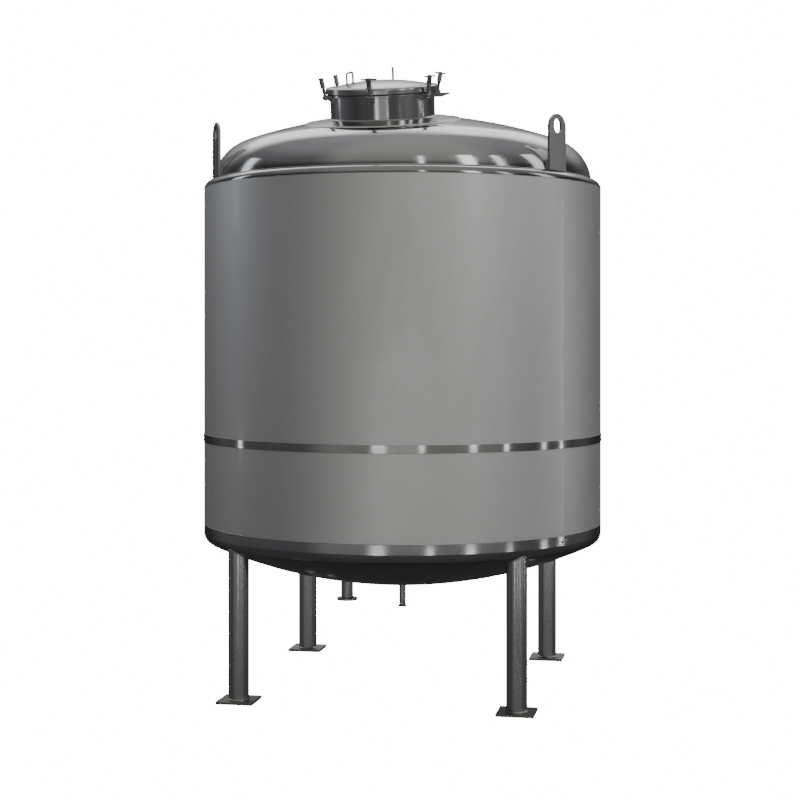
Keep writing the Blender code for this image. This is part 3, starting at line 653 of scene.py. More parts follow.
class Finish(Enum):
    """Finishes of the tank's pieces."""

    CLADDING = Steel("cladding_steel", (0.86, 0.86, 0.845), (0.79, 0.79, 0.77), 0.50, 0.03, Grain.LEVEL,
                     90.0, 0.05, 0.0, 0.22)
    HEAD = Steel("head_steel", (0.52, 0.52, 0.51), (0.46, 0.46, 0.45), 0.11, 0.04, Grain.NONE,
                 50.0, 0.03, 0.04)
    BOTTOM = Steel("bottom_steel", (0.46, 0.46, 0.46), (0.40, 0.40, 0.40), 0.12, 0.04, Grain.NONE,
                   50.0, 0.03, 0.05)
    PIPE = Steel("pipe_steel", (0.50, 0.50, 0.49), (0.42, 0.42, 0.40), 0.22, 0.05, Grain.UPRIGHT, 40.0, 0.012)
    PLATE = Steel("plate_steel", (0.24, 0.24, 0.23), (0.18, 0.18, 0.17), 0.38, 0.05, Grain.NONE, 80.0, 0.10)
    MACHINED = Steel("machined_steel", (0.36, 0.36, 0.35), (0.30, 0.30, 0.29), 0.26, 0.05, Grain.NONE,
                     120.0, 0.04)
    LUG = Steel("lug_steel", (0.40, 0.40, 0.39), (0.33, 0.33, 0.32), 0.36, 0.05, Grain.NONE, 90.0, 0.06)
    BAND = Steel("band_steel", (0.33, 0.33, 0.32), (0.29, 0.29, 0.28), 0.10, 0.03, Grain.NONE,
                 40.0, 0.02, 0.22)
    RING = Steel("ring_steel", (0.38, 0.38, 0.37), (0.33, 0.33, 0.32), 0.10, 0.03, Grain.NONE,
                 40.0, 0.02, 0.08)
    COVER = Steel("cover_steel", (0.52, 0.52, 0.51), (0.46, 0.46, 0.45), 0.20, 0.03, Grain.NONE, 60.0, 0.02)
    NECK = Steel("neck_steel", (0.48, 0.49, 0.48), (0.42, 0.42, 0.41), 0.13, 0.03, Grain.NONE, 60.0, 0.02)
    PAD = Steel("pad_steel", (0.60, 0.60, 0.59), (0.53, 0.53, 0.52), 0.18, 0.04, Grain.NONE, 60.0, 0.03)
    INNER = Steel("inner_steel", (0.62, 0.62, 0.61), (0.55, 0.55, 0.53), 0.32, 0.04, Grain.LEVEL, 60.0, 0.05)
    WELD = Bead("weld_bead", (0.60, 0.59, 0.57), (0.46, 0.44, 0.40), 0.30)
    RUBBER = Rubber("gasket_rubber", (0.020, 0.020, 0.021), (0.045, 0.045, 0.044), 0.65)

    @cache
    def material(self) -> bpy.types.Material:
        """The material, built once."""
        return self.value.build()


# Tank

SHELL_STEPS = 192
NECK_STEPS = 144
PIPE_STEPS = 64
ROD_STEPS = 32
CROWN_STEPS = 40
KNUCKLE_STEPS = 16
GAP = 0.0003
SADDLE_STEPS = 64
SEAM_SINK = 0.0006
ROOT_SINK = 0.0025
PIN_EDGE = 0.0008
BAND_EDGE = 0.0012
SHEET_EDGE = 0.0008
FOOT_EDGE = 0.0012
FOOT_CORNER = 0.005
LUG_EDGE = 0.0016
LUG_FOOT_EDGE = 0.0006
SIDE_LUG_EDGE = 0.0012
RIM_EDGE = 0.0015
HINGE_EDGE = 0.0008
BOLT_EAR_EDGE = 0.0007
SEAM_BEAD = 0.0009
JACKET_BEAD = 0.0014
SHOULDER_BEAD = 0.0024
LEG_HEAD_BEAD = 0.0032
LEG_FOOT_BEAD = 0.0034
OUTLET_BEAD = 0.0026
LUG_BEAD = 0.0030
HANDLE_BEAD = 0.0022
POST_BEAD = 0.0016
ALONG_Y = Matrix.Rotation(math.radians(-90.0), 4, "X")
SIDES = ((-1, "left"), (1, "right"))


def coat(obj: Piece, finish: Finish) -> None:
    """Gives an object its finish."""
    obj.data.materials.clear()
    obj.data.materials.append(finish.material())


def fit(obj: Piece, finish: Finish, node: str, body: str = Body.ROOT.value, stands_for: bool = True) -> None:
    """Gives a piece its finish and lets it ride on its body.

    Args:
        obj: the piece, in place.
        finish: its finish.
        node: the CAD node that it belongs to.
        body: the body that it rides on.
        stands_for: whether it stands for the node.
    """
    coat(obj, finish)
    if stands_for:
        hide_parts(node)
    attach(obj, body)
    log.info("%s: %d faces on %s", obj.name, len(obj.data.polygons), body)


def add(obj: Piece, finish: Finish, node: str, body: str = Body.ROOT.value) -> None:
    """Fits a piece that belongs to a node without standing for it."""
    fit(obj, finish, node, body, stands_for=False)


def ring_bead(name: str, radius: float, height: float, size: float, matrix: Matrix = STAY,
              steps: int = SHELL_STEPS) -> Piece:
    """Makes a round weld bead round an axis.

    Args:
        name: name of the bead.
        radius: radius of its centre line.
        height: height of its centre line.
        size: radius of its section.
        matrix: where it goes.
        steps: segments round the axis.

    Returns:
        The bead.
    """
    return turned(name, arc((radius, height), size, 0.0, 324.0, 9), steps, matrix)


@dataclass(frozen=True)
class Dish:
    """Dished end of a crown and a knuckle.

    Attributes:
        radius: outer radius at its tangent line.
        knuckle: radius of its knuckle.
        crown: radius of its crown.
        tangent: height of its tangent line.
        up: 1 where it bulges upwards, -1 where it bulges downwards.
        thickness: thickness of its plate.
        edge: height of the edge of its straight flange.
    """

    radius: float
    knuckle: float
    crown: float
    tangent: float
    up: int
    thickness: float
    edge: float

    @property
    def turn(self) -> float:
        """Angle of the crown from its pole to the knuckle, in degrees."""
        return math.degrees(math.asin((self.radius - self.knuckle) / (self.crown - self.knuckle)))

    @property
    def crown_centre(self) -> float:
        """Height of the crown's centre over the tangent line, towards the bulge."""
        return -math.sqrt((self.crown - self.knuckle) ** 2 - (self.radius - self.knuckle) ** 2)

    def grown(self) -> "Dish":
        """The dish with the usual gap added all round."""
        return replace(self, radius=self.radius + GAP, knuckle=self.knuckle + GAP, crown=self.crown + GAP)

    def curve(self, inset: float = 0.0) -> list[Point2]:
        """Profile from the pole to the tangent line.

        Args:
            inset: how far the curve lies inside the outer surface.

        Returns:
            The points.
        """
        points = arc((0.0, self.crown_centre), self.crown - inset, 90.0, 90.0 - self.turn, CROWN_STEPS)
        points += arc((self.radius - self.knuckle, 0.0), self.knuckle - inset, 90.0 - self.turn, 0.0,
                      KNUCKLE_STEPS)[1:]
        points[0] = (0.0, points[0][1])
        return [(r, self.tangent + self.up * h) for r, h in points]

    def section(self) -> list[Point2]:
        """Closed section of the shell with its straight flange."""
        outside = self.curve() + [(self.radius, self.edge)]
        inside = self.curve(self.thickness) + [(self.radius - self.thickness, self.edge)]
        return outside + inside[::-1]

    def height(self, reach: float) -> float:
        """Height of the outer surface at a distance from the axis."""
        if reach <= self.crown * math.sin(math.radians(self.turn)):
            rise = self.crown_centre + math.sqrt(self.crown ** 2 - reach ** 2)
        else:
            side = min(reach - (self.radius - self.knuckle), self.knuckle)
            rise = math.sqrt(max(self.knuckle ** 2 - side ** 2, 0.0))
        return self.tangent + self.up * rise

    def saddle(self, x: float, y: float, radius: float) -> list[Vector]:
        """Line on which an upright pipe meets the dish.

        Args:
            x: place of the pipe.
            y: place of the pipe.
            radius: radius of the pipe.

        Returns:
            The points.
        """
        angles = (2 * math.pi * i / SADDLE_STEPS for i in range(SADDLE_STEPS))
        places = [(x + radius * math.cos(a), y + radius * math.sin(a)) for a in angles]
        return [Vector((px, py, self.height(math.hypot(px, py)))) for px, py in places]


ROOF_DISH = Dish(0.858, 0.200, 2.200, 2.247, 1, 0.005, 2.240)
BOTTOM_DISH = Dish(0.900, 0.050, 2.100, 0.683, -1, 0.006, 0.723)
MANWAY_OFFSET = 0.440


def manway_frame() -> Matrix:
    """Frame of the manway, which stands in front of the tank's axis and square to the roof's crown."""
    tilt = math.asin(MANWAY_OFFSET / ROOF_DISH.crown)
    centre = ROOF_DISH.tangent + ROOF_DISH.crown_centre
    height = centre + ROOF_DISH.crown * math.cos(tilt)
    return Matrix.Translation((0.0, -MANWAY_OFFSET, height)) @ Matrix.Rotation(tilt, 4, "X")


MANWAY = manway_frame()


@dataclass(frozen=True)
class Jacket:
    """Jacket of rolled sheets in two courses, with a band over their joint.

    Attributes:
        radius: outer radius.
        thickness: thickness of the sheets.
        heights: heights of the bottom edge, of the joint and of the top edge.
        sheets: sheets in a course.
        seam: width of the joint between sheets.
        band_height: height of the band.
        band_thickness: thickness of the band.
    """

    radius: float = 0.900
    thickness: float = 0.003
    heights: tuple[float, float, float] = (0.723, 1.108, 2.225)
    sheets: int = 3
    seam: float = 0.0008
    band_height: float = 0.034
    band_thickness: float = 0.002

    def build(self) -> None:
        """Makes the sheets, their seams, the polished band and the beads at both edges."""
        low, joint, high = self.heights
        for course, bottom, top in (("lower", low, joint), ("upper", joint, high)):
            for number in range(self.sheets):
                self.build_sheet(course, number, bottom, top)
        inner, half = self.radius + GAP, self.band_height / 2
        section = oblong(inner, inner + self.band_thickness, joint + half, joint - half)
        band = turned("jacket_band", rounded(section, BAND_EDGE, (1, 2)), SHELL_STEPS)
        fit(band, Finish.BAND, "cladding_band")
        for name, height, node in (("top", high, "closure_ring"), ("bottom", low, "bottom_head")):
            bead = ring_bead(f"jacket_{name}_bead", self.radius - SEAM_SINK, height, JACKET_BEAD)
            add(bead, Finish.WELD, node)

    def build_sheet(self, course: str, number: int, bottom: float, top: float) -> None:
        """Makes a sheet and the welded seam beside it."""
        share = 360.0 / self.sheets
        gap = math.degrees(self.seam / self.radius)
        start = 90.0 + share * number
        section = rounded(oblong(self.radius - self.thickness, self.radius, top, bottom), SHEET_EDGE, (1, 2))
        label = f"{course}_{number + 1}"
        sheet = turned(f"sheet_{label}", section, SHELL_STEPS // self.sheets, start=start, sweep=share - gap)
        fit(sheet, Finish.CLADDING, f"cladding_{label}")
        turn, reach = math.radians(start - gap / 2), self.radius - SEAM_SINK
        ends = (bottom + 0.001, top - 0.001)
        line = [Vector((reach * math.cos(turn), reach * math.sin(turn), z)) for z in ends]
        add(rod(f"seam_{label}", line, SEAM_BEAD), Finish.CLADDING, f"cladding_{label}")


@dataclass(frozen=True)
class ClosureRing:
    """Rounded ring between the jacket and the roof.

    Attributes:
        inner: inner radius.
        outer: outer radius.
        base: height of its lower edge.
        height: how far it rises.
        thickness: thickness of its sheet.
    """

    inner: float = 0.8580
    outer: float = 0.900
    base: float = 2.2253
    height: float = 0.037
    thickness: float = 0.003

    def build(self) -> None:
        """Makes the ring and its weld to the roof."""
        section = []
        for less, start, end in ((0.0, 90.0, 0.0), (self.thickness, 0.0, 90.0)):
            width, rise = self.outer - self.inner - less, self.height - less
            section += [(self.inner + width * x, self.base + rise * y)
                        for x, y in arc((0.0, 0.0), 1.0, start, end, 18)]
        fit(turned("shoulder_ring", section, SHELL_STEPS), Finish.RING, "closure_ring")
        bead = ring_bead("shoulder_bead", self.inner, self.base + self.height, SHOULDER_BEAD)
        add(bead, Finish.WELD, "closure_ring")


@dataclass(frozen=True)
class Ends:
    """Roof and bottom of the tank.

    Attributes:
        hole: radius of the manway's hole.
        pipes: place and radius of the pipes through the bottom.
        inside: nodes that are kept from the solids.
    """

    hole: float = 0.2195
    pipes: tuple[tuple[float, float, float], ...] = ((-0.293, 0.147, 0.0285), (0.0, 0.0, 0.015))
    inside: tuple[str, ...] = ("vessel_wall_1", "vessel_wall_2", "vessel_bottom")

    def build(self) -> None:
        """Makes the roof and the bottom of the jacket, and finishes the vessel inside."""
        roof = turned("roof_dish", ROOF_DISH.section(), SHELL_STEPS)
        carve(roof, [turned("roof_hole", oblong(0.0, self.hole, -0.1, 0.1), NECK_STEPS, MANWAY)])
        fit(roof, Finish.HEAD, "top_head")
        bottom = turned("bottom_dish", BOTTOM_DISH.section(), SHELL_STEPS)
        carve(bottom, [turned(f"pipe_hole_{number}", oblong(0.0, radius + GAP, 0.0, 0.8), PIPE_STEPS,
                              Matrix.Translation((x, y, 0.0)))
                       for number, (x, y, radius) in enumerate(self.pipes)])
        fit(bottom, Finish.BOTTOM, "bottom_head")
        for node in self.inside:
            coat(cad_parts[node], Finish.INNER)
            log.info("%s: kept from the solids", node)


@dataclass(frozen=True)
class Legs:
    """Pipe legs on foot plates.

    Attributes:
        count: number of legs.
        first: bearing of the first.
        circle: radius of the circle that they stand on.
        radius: outer radius of the pipe.
        wall: wall of the pipe.
        top: height of the pipe before it is coped.
        plate: width of the foot plates.
        thickness: thickness of the foot plates.
    """

    count: int = 4
    first: float = 45.0
    circle: float = 0.846
    radius: float = 0.04445
    wall: float = 0.004
    top: float = 0.72
    plate: float = 0.160
    thickness: float = 0.012

    def build(self) -> None:
        """Makes the legs, coped to the bottom, their welds and the foot plates."""
        over, half = BOTTOM_DISH.grown(), self.plate / 2
        for number in range(1, self.count + 1):
            place = bearing(self.first + (number - 1) * 360.0 / self.count) * self.circle
            node, spot = f"leg_{number}", Matrix.Translation(place)
            base = self.thickness + GAP
            tube = oblong(self.radius - self.wall, self.radius, self.top, base)
            leg = turned(f"pipe_leg_{number}", tube, PIPE_STEPS, spot)
            space = [(0.0, 0.9), (over.radius, 0.9)] + over.curve()[::-1]
            carve(leg, [turned("bottom_space", space, SHELL_STEPS)])
            fit(leg, Finish.PIPE, node)
            line = BOTTOM_DISH.saddle(place.x, place.y, self.radius)
            lowered = Matrix.Translation((0.0, 0.0, -0.0012))
            weld = rod(f"leg_head_weld_{number}", line, LEG_HEAD_BEAD, lowered, closed=True)
            add(weld, Finish.WELD, node)
            bead = ring_bead(f"leg_foot_weld_{number}", self.radius, base, LEG_FOOT_BEAD, spot, PIPE_STEPS)
            add(bead, Finish.WELD, node)
            outline = rounded(oblong(-half, half, -half, half), FOOT_CORNER, steps=THIRDS)
            foot = plate(f"foot_{number}", (outline,), self.thickness, FOOT_EDGE,
                         Matrix.Translation(place + Vector((0.0, 0.0, self.thickness / 2))))
            fit(foot, Finish.PLATE, f"foot_plate_{number}")


@dataclass(frozen=True)
class Outlet:
    """Pipe under the bottom, with a flange or a ferrule at its end.

    Attributes:
        node: the CAD node.
        x: place from the axis.
        y: place from the axis.
        radius: outer radius of the pipe.
        wall: wall of the pipe.
        flange: radius of the flange.
        thickness: thickness of the flange.
        end: height of the flange's face.
        top: height of the pipe's upper end.
        taper: how far the flange's back slopes.
    """

    node: str
    x: float
    y: float
    radius: float
    wall: float
    flange: float
    thickness: float
    end: float
    top: float
    taper: float

    def build(self) -> None:
        """Makes the pipe with its flange and its weld to the bottom."""
        inner, back = self.radius - self.wall, self.end + self.thickness
        section = [
            (inner, self.top), (self.radius, self.top), (self.radius, back + 0.002),
            (self.radius + 0.002, back), (self.flange, back - self.taper), (self.flange, self.end),
            (inner + 0.006, self.end), (inner + 0.0045, self.end + 0.0015), (inner + 0.003, self.end),
            (inner, self.end),
        ]
        fit(turned(f"{self.node}_pipe", rounded(section, 0.001, (1, 4, 5, 9)), PIPE_STEPS,
                   Matrix.Translation((self.x, self.y, 0.0))), Finish.PIPE, self.node)
        line = BOTTOM_DISH.saddle(self.x, self.y, self.radius + 0.0002)
        add(rod(f"{self.node}_weld", line, OUTLET_BEAD, Matrix.Translation((0.0, 0.0, -0.001)), closed=True),
            Finish.WELD, self.node)


@dataclass(frozen=True)
class LiftingLugs:
    """Flat lifting lugs with a round top, welded to the roof's flange.

    Attributes:
        count: number of lugs.
        first: bearing of the first.
        width: width of a lug.
        thickness: its thickness.
        bottom: height of its lower edge.
        top: height of its top.
        hole: width and height of its hole.
        over_hole: steel over the hole.
        foot: width, height and depth of the foot behind a lug.
    """

    count: int = 3
    first: float = 60.0
    width: float = 0.119
    thickness: float = 0.012
    bottom: float = 2.2627
    top: float = 2.504
    hole: Point2 = (0.050, 0.062)
    over_hole: float = 0.020
    foot: tuple[float, float, float] = (0.110, 0.045, 0.020)

    @property
    def reach(self) -> float:
        """Distance of a lug's middle plane from the tank's axis."""
        return ROOF_DISH.radius + GAP + self.thickness / 2

    def build(self) -> None:
        """Makes the lugs and their feet."""
        half, hole_half = self.width / 2, self.hole[0] / 2
        outline = [(-half, 0.0), (half, 0.0)]
        outline += arc((0.0, self.top - half - self.bottom), half, 0.0, 180.0, 40)
        upper = self.top - self.over_hole - self.bottom - hole_half
        lower = upper - (self.hole[1] - self.hole[0])
        hole = arc((0.0, upper), hole_half, 0.0, 180.0, 28) + arc((0.0, lower), hole_half, 180.0, 360.0, 28)
        for number in range(1, self.count + 1):
            angle = self.first + (number - 1) * 360.0 / self.count
            place = station(angle, self.reach, self.bottom, across=True)
            fit(plate(f"lug_{number}", (outline, hole), self.thickness, LUG_EDGE, place), Finish.LUG,
                f"lifting_lug_{number}")
            self.build_foot(number, place)

    def build_foot(self, number: int, place: Matrix) -> None:
        """Makes the foot behind a lug, which follows the roof's knuckle, and its welds."""
        width, height, depth = self.foot
        outline = oblong(-width / 2, width / 2, 0.0, height)
        foot = plate(f"lug_foot_{number}", (outline,), depth, LUG_FOOT_EDGE,
                     place @ Matrix.Translation((0.0, 0.0, -depth / 2)))
        over = ROOF_DISH.grown()
        carve(foot, [turned("roof_space", over.curve() + [(over.radius, 2.0), (0.0, 2.0)], SHELL_STEPS)])
        add(foot, Finish.LUG, f"lifting_lug_{number}")
        for side, label in SIDES:
            x = side * (width / 2 + 0.0004)
            line = []
            for step in range(12):
                y = 0.002 + (height - 0.004) * step / 11
                rise = min(max(self.bottom + y - ROOF_DISH.tangent, 0.0), ROOF_DISH.knuckle)
                out = ROOF_DISH.radius - ROOF_DISH.knuckle + math.sqrt(ROOF_DISH.knuckle ** 2 - rise ** 2)
                line.append(Vector((x, y, math.sqrt(out ** 2 - x ** 2) - self.reach)))
            weld = rod(f"lug_{label}_weld_{number}", line, LUG_BEAD, place)
            add(weld, Finish.WELD, f"lifting_lug_{number}")


# Manway


def crown_drop(radius: float, lift: float = 0.0) -> float:
    """Height of the roof's surface in the manway's frame.

    Args:
        radius: distance from the manway's axis.
        lift: how far the surface is raised.

    Returns:
        The height.
    """
    return math.sqrt((ROOF_DISH.crown + lift) ** 2 - radius ** 2) - ROOF_DISH.crown


def pin(name: str, radius: float, length: float, matrix: Matrix) -> Piece:
    """Makes a round pin along Z with broken edges, centred on the origin."""
    half = length / 2
    section = [(0.0, -half), (radius - PIN_EDGE, -half), (radius, -half + PIN_EDGE),
               (radius, half - PIN_EDGE), (radius - PIN_EDGE, half), (0.0, half)]
    return turned(name, section, ROD_STEPS, matrix)


def ears(name: str, outline: Sequence[Point2], thickness: float, edge: float, space: float,
         matrix: Matrix) -> None:
    """Makes two equal ears on the neck.

    Args:
        name: name of an ear, with a place for its side.
        outline: outline of an ear.
        thickness: thickness of an ear.
        edge: radius of its rounded edges.
        space: space between the ears.
        matrix: frame of the plane midway between them.
    """
    for side, label in SIDES:
        place = matrix @ Matrix.Translation((0.0, 0.0, side * (space + thickness) / 2))
        add(plate(name.format(label), (outline,), thickness, edge, place), Finish.MACHINED, "manway_neck")


@dataclass(frozen=True)
class Neck:
    """Neck of the manway with its rim, and the ring of plate round it.

    Attributes:
        radius: outer radius of the neck.
        wall: its wall.
        rim: radius of the rim.
        rim_bottom: height of the rim's underside.
        top: height of the rim's face.
        pad: radius of the ring of plate.
        pad_thickness: its thickness.
        gasket: inner and outer radius of the gasket.
        gasket_height: height of the gasket.
    """

    radius: float = 0.225
    wall: float = 0.005
    rim: float = 0.238
    rim_bottom: float = 0.087
    top: float = 0.097
    pad: float = 0.332
    pad_thickness: float = 0.005
    gasket: Point2 = (0.224, 0.236)
    gasket_height: float = 0.004

    @property
    def root(self) -> float:
        """Distance from the manway's axis at which ears and lugs start, inside the neck's wall."""
        return self.radius - ROOT_SINK

    def build(self) -> None:
        """Makes the neck, the ring of plate that follows the roof, their welds and the gasket."""
        inner = self.radius - self.wall
        section = [(inner, self.top), (self.rim, self.top), (self.rim, self.rim_bottom),
                   (self.radius, self.rim_bottom), (self.radius, crown_drop(self.radius) + GAP),
                   (inner, crown_drop(inner) + GAP)]
        tube = turned("neck_tube", rounded(section, RIM_EDGE, (0, 1, 2)), NECK_STEPS, MANWAY)
        fit(tube, Finish.NECK, "manway_neck")
        inner = self.radius + GAP
        radii = [inner + (self.pad - inner) * i / 10 for i in range(11)]
        section = [(r, crown_drop(r, self.pad_thickness)) for r in radii]
        section += [(r, crown_drop(r) + GAP) for r in radii[::-1]]
        fit(turned("neck_pad", rounded(section, 0.0015, (10,)), NECK_STEPS, MANWAY), Finish.PAD, "manway_pad")
        self.build_welds()
        low = self.top + GAP
        section = rounded(oblong(*self.gasket, low + self.gasket_height, low), 0.0012)
        fit(turned("cover_seal", section, NECK_STEPS, MANWAY), Finish.RUBBER, "manway_gasket")

    def build_welds(self) -> None:
        """Makes the fillet welds round the neck and round the ring of plate."""
        near = self.radius - 0.0003
        toe = near + 0.0042
        level = crown_drop(toe, self.pad_thickness)
        section = [(near, crown_drop(near, self.pad_thickness) - 0.001), (toe, level - 0.0004),
                   (toe - 0.0010, level + 0.0012), (toe - 0.0026, level + 0.0026),
                   (near, crown_drop(near, self.pad_thickness) + 0.0040)]
        add(turned("neck_weld", section, NECK_STEPS, MANWAY), Finish.WELD, "manway_neck")
        near, toe = self.pad - 0.0012, self.pad + 0.0055
        section = [(near, crown_drop(self.pad) + GAP), (toe, crown_drop(toe) - 0.0004),
                   (self.pad + 0.0036, crown_drop(self.pad) + 0.0022),
                   (near, crown_drop(self.pad, self.pad_thickness) - 0.0004)]
        add(turned("pad_weld", section, NECK_STEPS, MANWAY), Finish.WELD, "manway_pad")


NECK = Neck()


@dataclass(frozen=True)
class SideLug:
    """Pointed lug on the right of the neck.

    Attributes:
        bearing: where it stands.
        thickness: its thickness.
        reach: how far it reaches from the manway's axis.
        top: height of its top.
        depth: its depth at the neck.
        tip: its depth at the tip.
    """

    bearing: float = 90.0
    thickness: float = 0.012
    reach: float = 0.298
    top: float = 0.091
    depth: float = 0.018
    tip: float = 0.006

    def build(self) -> None:
        """Makes the lug."""
        outline = [(NECK.root, self.top - self.depth), ((NECK.root + self.reach) / 2, self.top - self.depth),
                   (self.reach, self.top - self.tip), (self.reach, self.top), (NECK.root, self.top)]
        lug = plate("side_lug", (rounded(outline, 0.003, steps=THIRDS),), self.thickness, SIDE_LUG_EDGE,
                    MANWAY @ station(self.bearing))
        add(lug, Finish.MACHINED, "manway_neck")


@dataclass(frozen=True)
class Cover:
    """Cover with a deep rim and a shallow dish, and the looped handle on it.

    Attributes:
        radius: radius of its rim.
        bottom: height of its underside.
        top: height of its flat land.
        land: radius of the dish.
        crown_top: height of the dish's top.
        thickness: thickness of its plate.
        rim: width of the rim.
        edge: radius of the rim's rounded edge.
        handle_offset: place of the handle to the side.
        handle_half: half of the handle's length.
        handle_top: height of the handle's top.
        handle_rod: radius of the handle's rod.
        corner: radius of the handle's corners.
    """

    radius: float = 0.242
    bottom: float = 0.1016
    top: float = 0.129
    land: float = 0.212
    crown_top: float = 0.153
    thickness: float = 0.006
    rim: float = 0.020
    edge: float = 0.012
    handle_offset: float = -0.139
    handle_half: float = 0.060
    handle_top: float = 0.191
    handle_rod: float = 0.005
    corner: float = 0.016

    @property
    def crown(self) -> float:
        """Radius of the dish's curve."""
        rise = self.crown_top - self.top
        return (self.land ** 2 + rise ** 2) / (2 * rise)

    def crown_curve(self, lift: float, steps: int) -> list[Point2]:
        """Arc of the dish from its pole to the land, moved along its radius."""
        turn = math.degrees(math.asin(self.land / self.crown))
        points = arc((0.0, self.crown_top - self.crown), self.crown + lift, 90.0, 90.0 - turn, steps)
        points[0] = (0.0, points[0][1])
        return points

    def build(self) -> None:
        """Makes the cover and its handle."""
        near = self.radius - self.rim
        rim = arc((self.radius - self.edge, self.top - self.edge), self.edge, 90.0, 0.0, 10)
        rim += [(self.radius, self.bottom + 0.001), (self.radius - 0.001, self.bottom), (near, self.bottom),
                (near, self.top - self.thickness)]
        section = self.crown_curve(0.0, 28) + rim + self.crown_curve(-self.thickness, 20)[::-1]
        shell = turned("cover_shell", section, NECK_STEPS, MANWAY)
        fit(shell, Finish.COVER, "manway_cover", Body.COVER.value)
        self.build_handle()

    def build_handle(self) -> None:
        """Makes the looped handle with a weld at each foot."""
        top = self.handle_top - self.handle_rod
        reach = math.hypot(self.handle_offset, self.handle_half)
        foot = self.crown_top - self.crown + math.sqrt(self.crown ** 2 - reach ** 2)
        half = [(self.handle_half, foot - 0.001)]
        half += arc((self.handle_half - self.corner, top - self.corner), self.corner, 0.0, 90.0, 10)
        route = half + [(-y, z) for y, z in half[::-1]]
        line = [Vector((self.handle_offset, y, z)) for y, z in route]
        handle = rod("lift_handle", line, self.handle_rod, MANWAY)
        fit(handle, Finish.MACHINED, "cover_handle", Body.COVER.value)
        for side, label in ((-1, "front"), (1, "back")):
            place = MANWAY @ Matrix.Translation((self.handle_offset, side * self.handle_half, foot))
            bead = ring_bead(f"handle_weld_{label}", self.handle_rod, 0.0004, HANDLE_BEAD, place, ROD_STEPS)
            add(bead, Finish.WELD, "cover_handle", Body.COVER.value)


COVER = Cover()


@dataclass(frozen=True)
class Hinge:
    """Hinge of the cover: two ears and a pin on the neck, and a leaf on the cover.

    Attributes:
        bearing: where it stands.
        radius: distance of its axis from the manway's.
        height: height of its axis.
        pin: radius of the pin.
        bore: radius of the knuckle's bore.
        knuckle: radius of the knuckle.
        width: width of the knuckle.
        ear: thickness of an ear.
        space: space between the ears.
        ear_radius: radius of an ear's round end.
        ear_root: heights of the lower and the upper end of an ear's root.
        ear_below: corner under an ear's round end.
        ear_above: corners between an ear's round end and its root.
        arm: width and thickness of the arm.
        post: radius of the upright post.
        post_top: height of the post's top.
        setback: how far the post stands from the bore.
    """

    bearing: float = 180.0
    radius: float = 0.268
    height: float = 0.119
    pin: float = 0.006
    bore: float = 0.0065
    knuckle: float = 0.011
    width: float = 0.022
    ear: float = 0.006
    space: float = 0.024
    ear_radius: float = 0.013
    ear_root: Point2 = (0.031, 0.085)
    ear_below: Point2 = (0.238, 0.041)
    ear_above: tuple[Point2, Point2] = ((0.2555, 0.101), (0.240, 0.091))
    arm: Point2 = (0.020, 0.008)
    post: float = 0.0055
    post_top: float = 0.197
    setback: float = 0.006

    def build(self) -> None:
        """Makes both halves of the hinge."""
        axis = MANWAY @ station(self.bearing, self.radius, self.height)
        ends = arc((self.radius, self.height), self.ear_radius, -30.0, 180.0, 24)
        lower, upper = self.ear_root
        outline = [(NECK.root, lower), self.ear_below, *ends, *self.ear_above, (NECK.root, upper)]
        ears("hinge_ear_{}", outline, self.ear, HINGE_EDGE, self.space, MANWAY @ station(self.bearing))
        length = self.space + 2 * self.ear + 0.006
        add(pin("hinge_pin", self.pin, length, axis), Finish.MACHINED, "manway_neck")
        self.build_leaf(axis)

    def build_leaf(self, axis: Matrix) -> None:
        """Makes the knuckle, the arm and the post, which ride on the cover."""
        node, body = "cover_hinge_leaf", Body.COVER.value
        section = rounded(oblong(self.bore, self.knuckle, -self.width / 2, self.width / 2), 0.001, (1, 2))
        fit(turned("hinge_knuckle", section, PIPE_STEPS, axis), Finish.MACHINED, node, body)
        width, thickness = self.arm
        outline = oblong(COVER.radius + GAP - self.radius, -(self.bore + 0.001), -thickness, 0.0)
        add(plate("hinge_arm", (outline,), width, HINGE_EDGE, axis), Finish.MACHINED, node, body)
        top = self.post_top - self.height
        section = [(0.0, -thickness + 0.001), (self.post, -thickness + 0.001), (self.post, top - 0.002),
                   (self.post - 0.002, top), (0.0, top)]
        place = axis @ Matrix.Translation((-self.setback - self.bore, 0.0, 0.0)) @ ALONG_Y
        post = turned("hinge_post", rounded(section, 0.001, (2, 3)), ROD_STEPS, place)
        add(post, Finish.MACHINED, node, body)
        bead = ring_bead("hinge_post_weld", self.post, 0.0003, POST_BEAD, place, ROD_STEPS)
        add(bead, Finish.WELD, node, body)


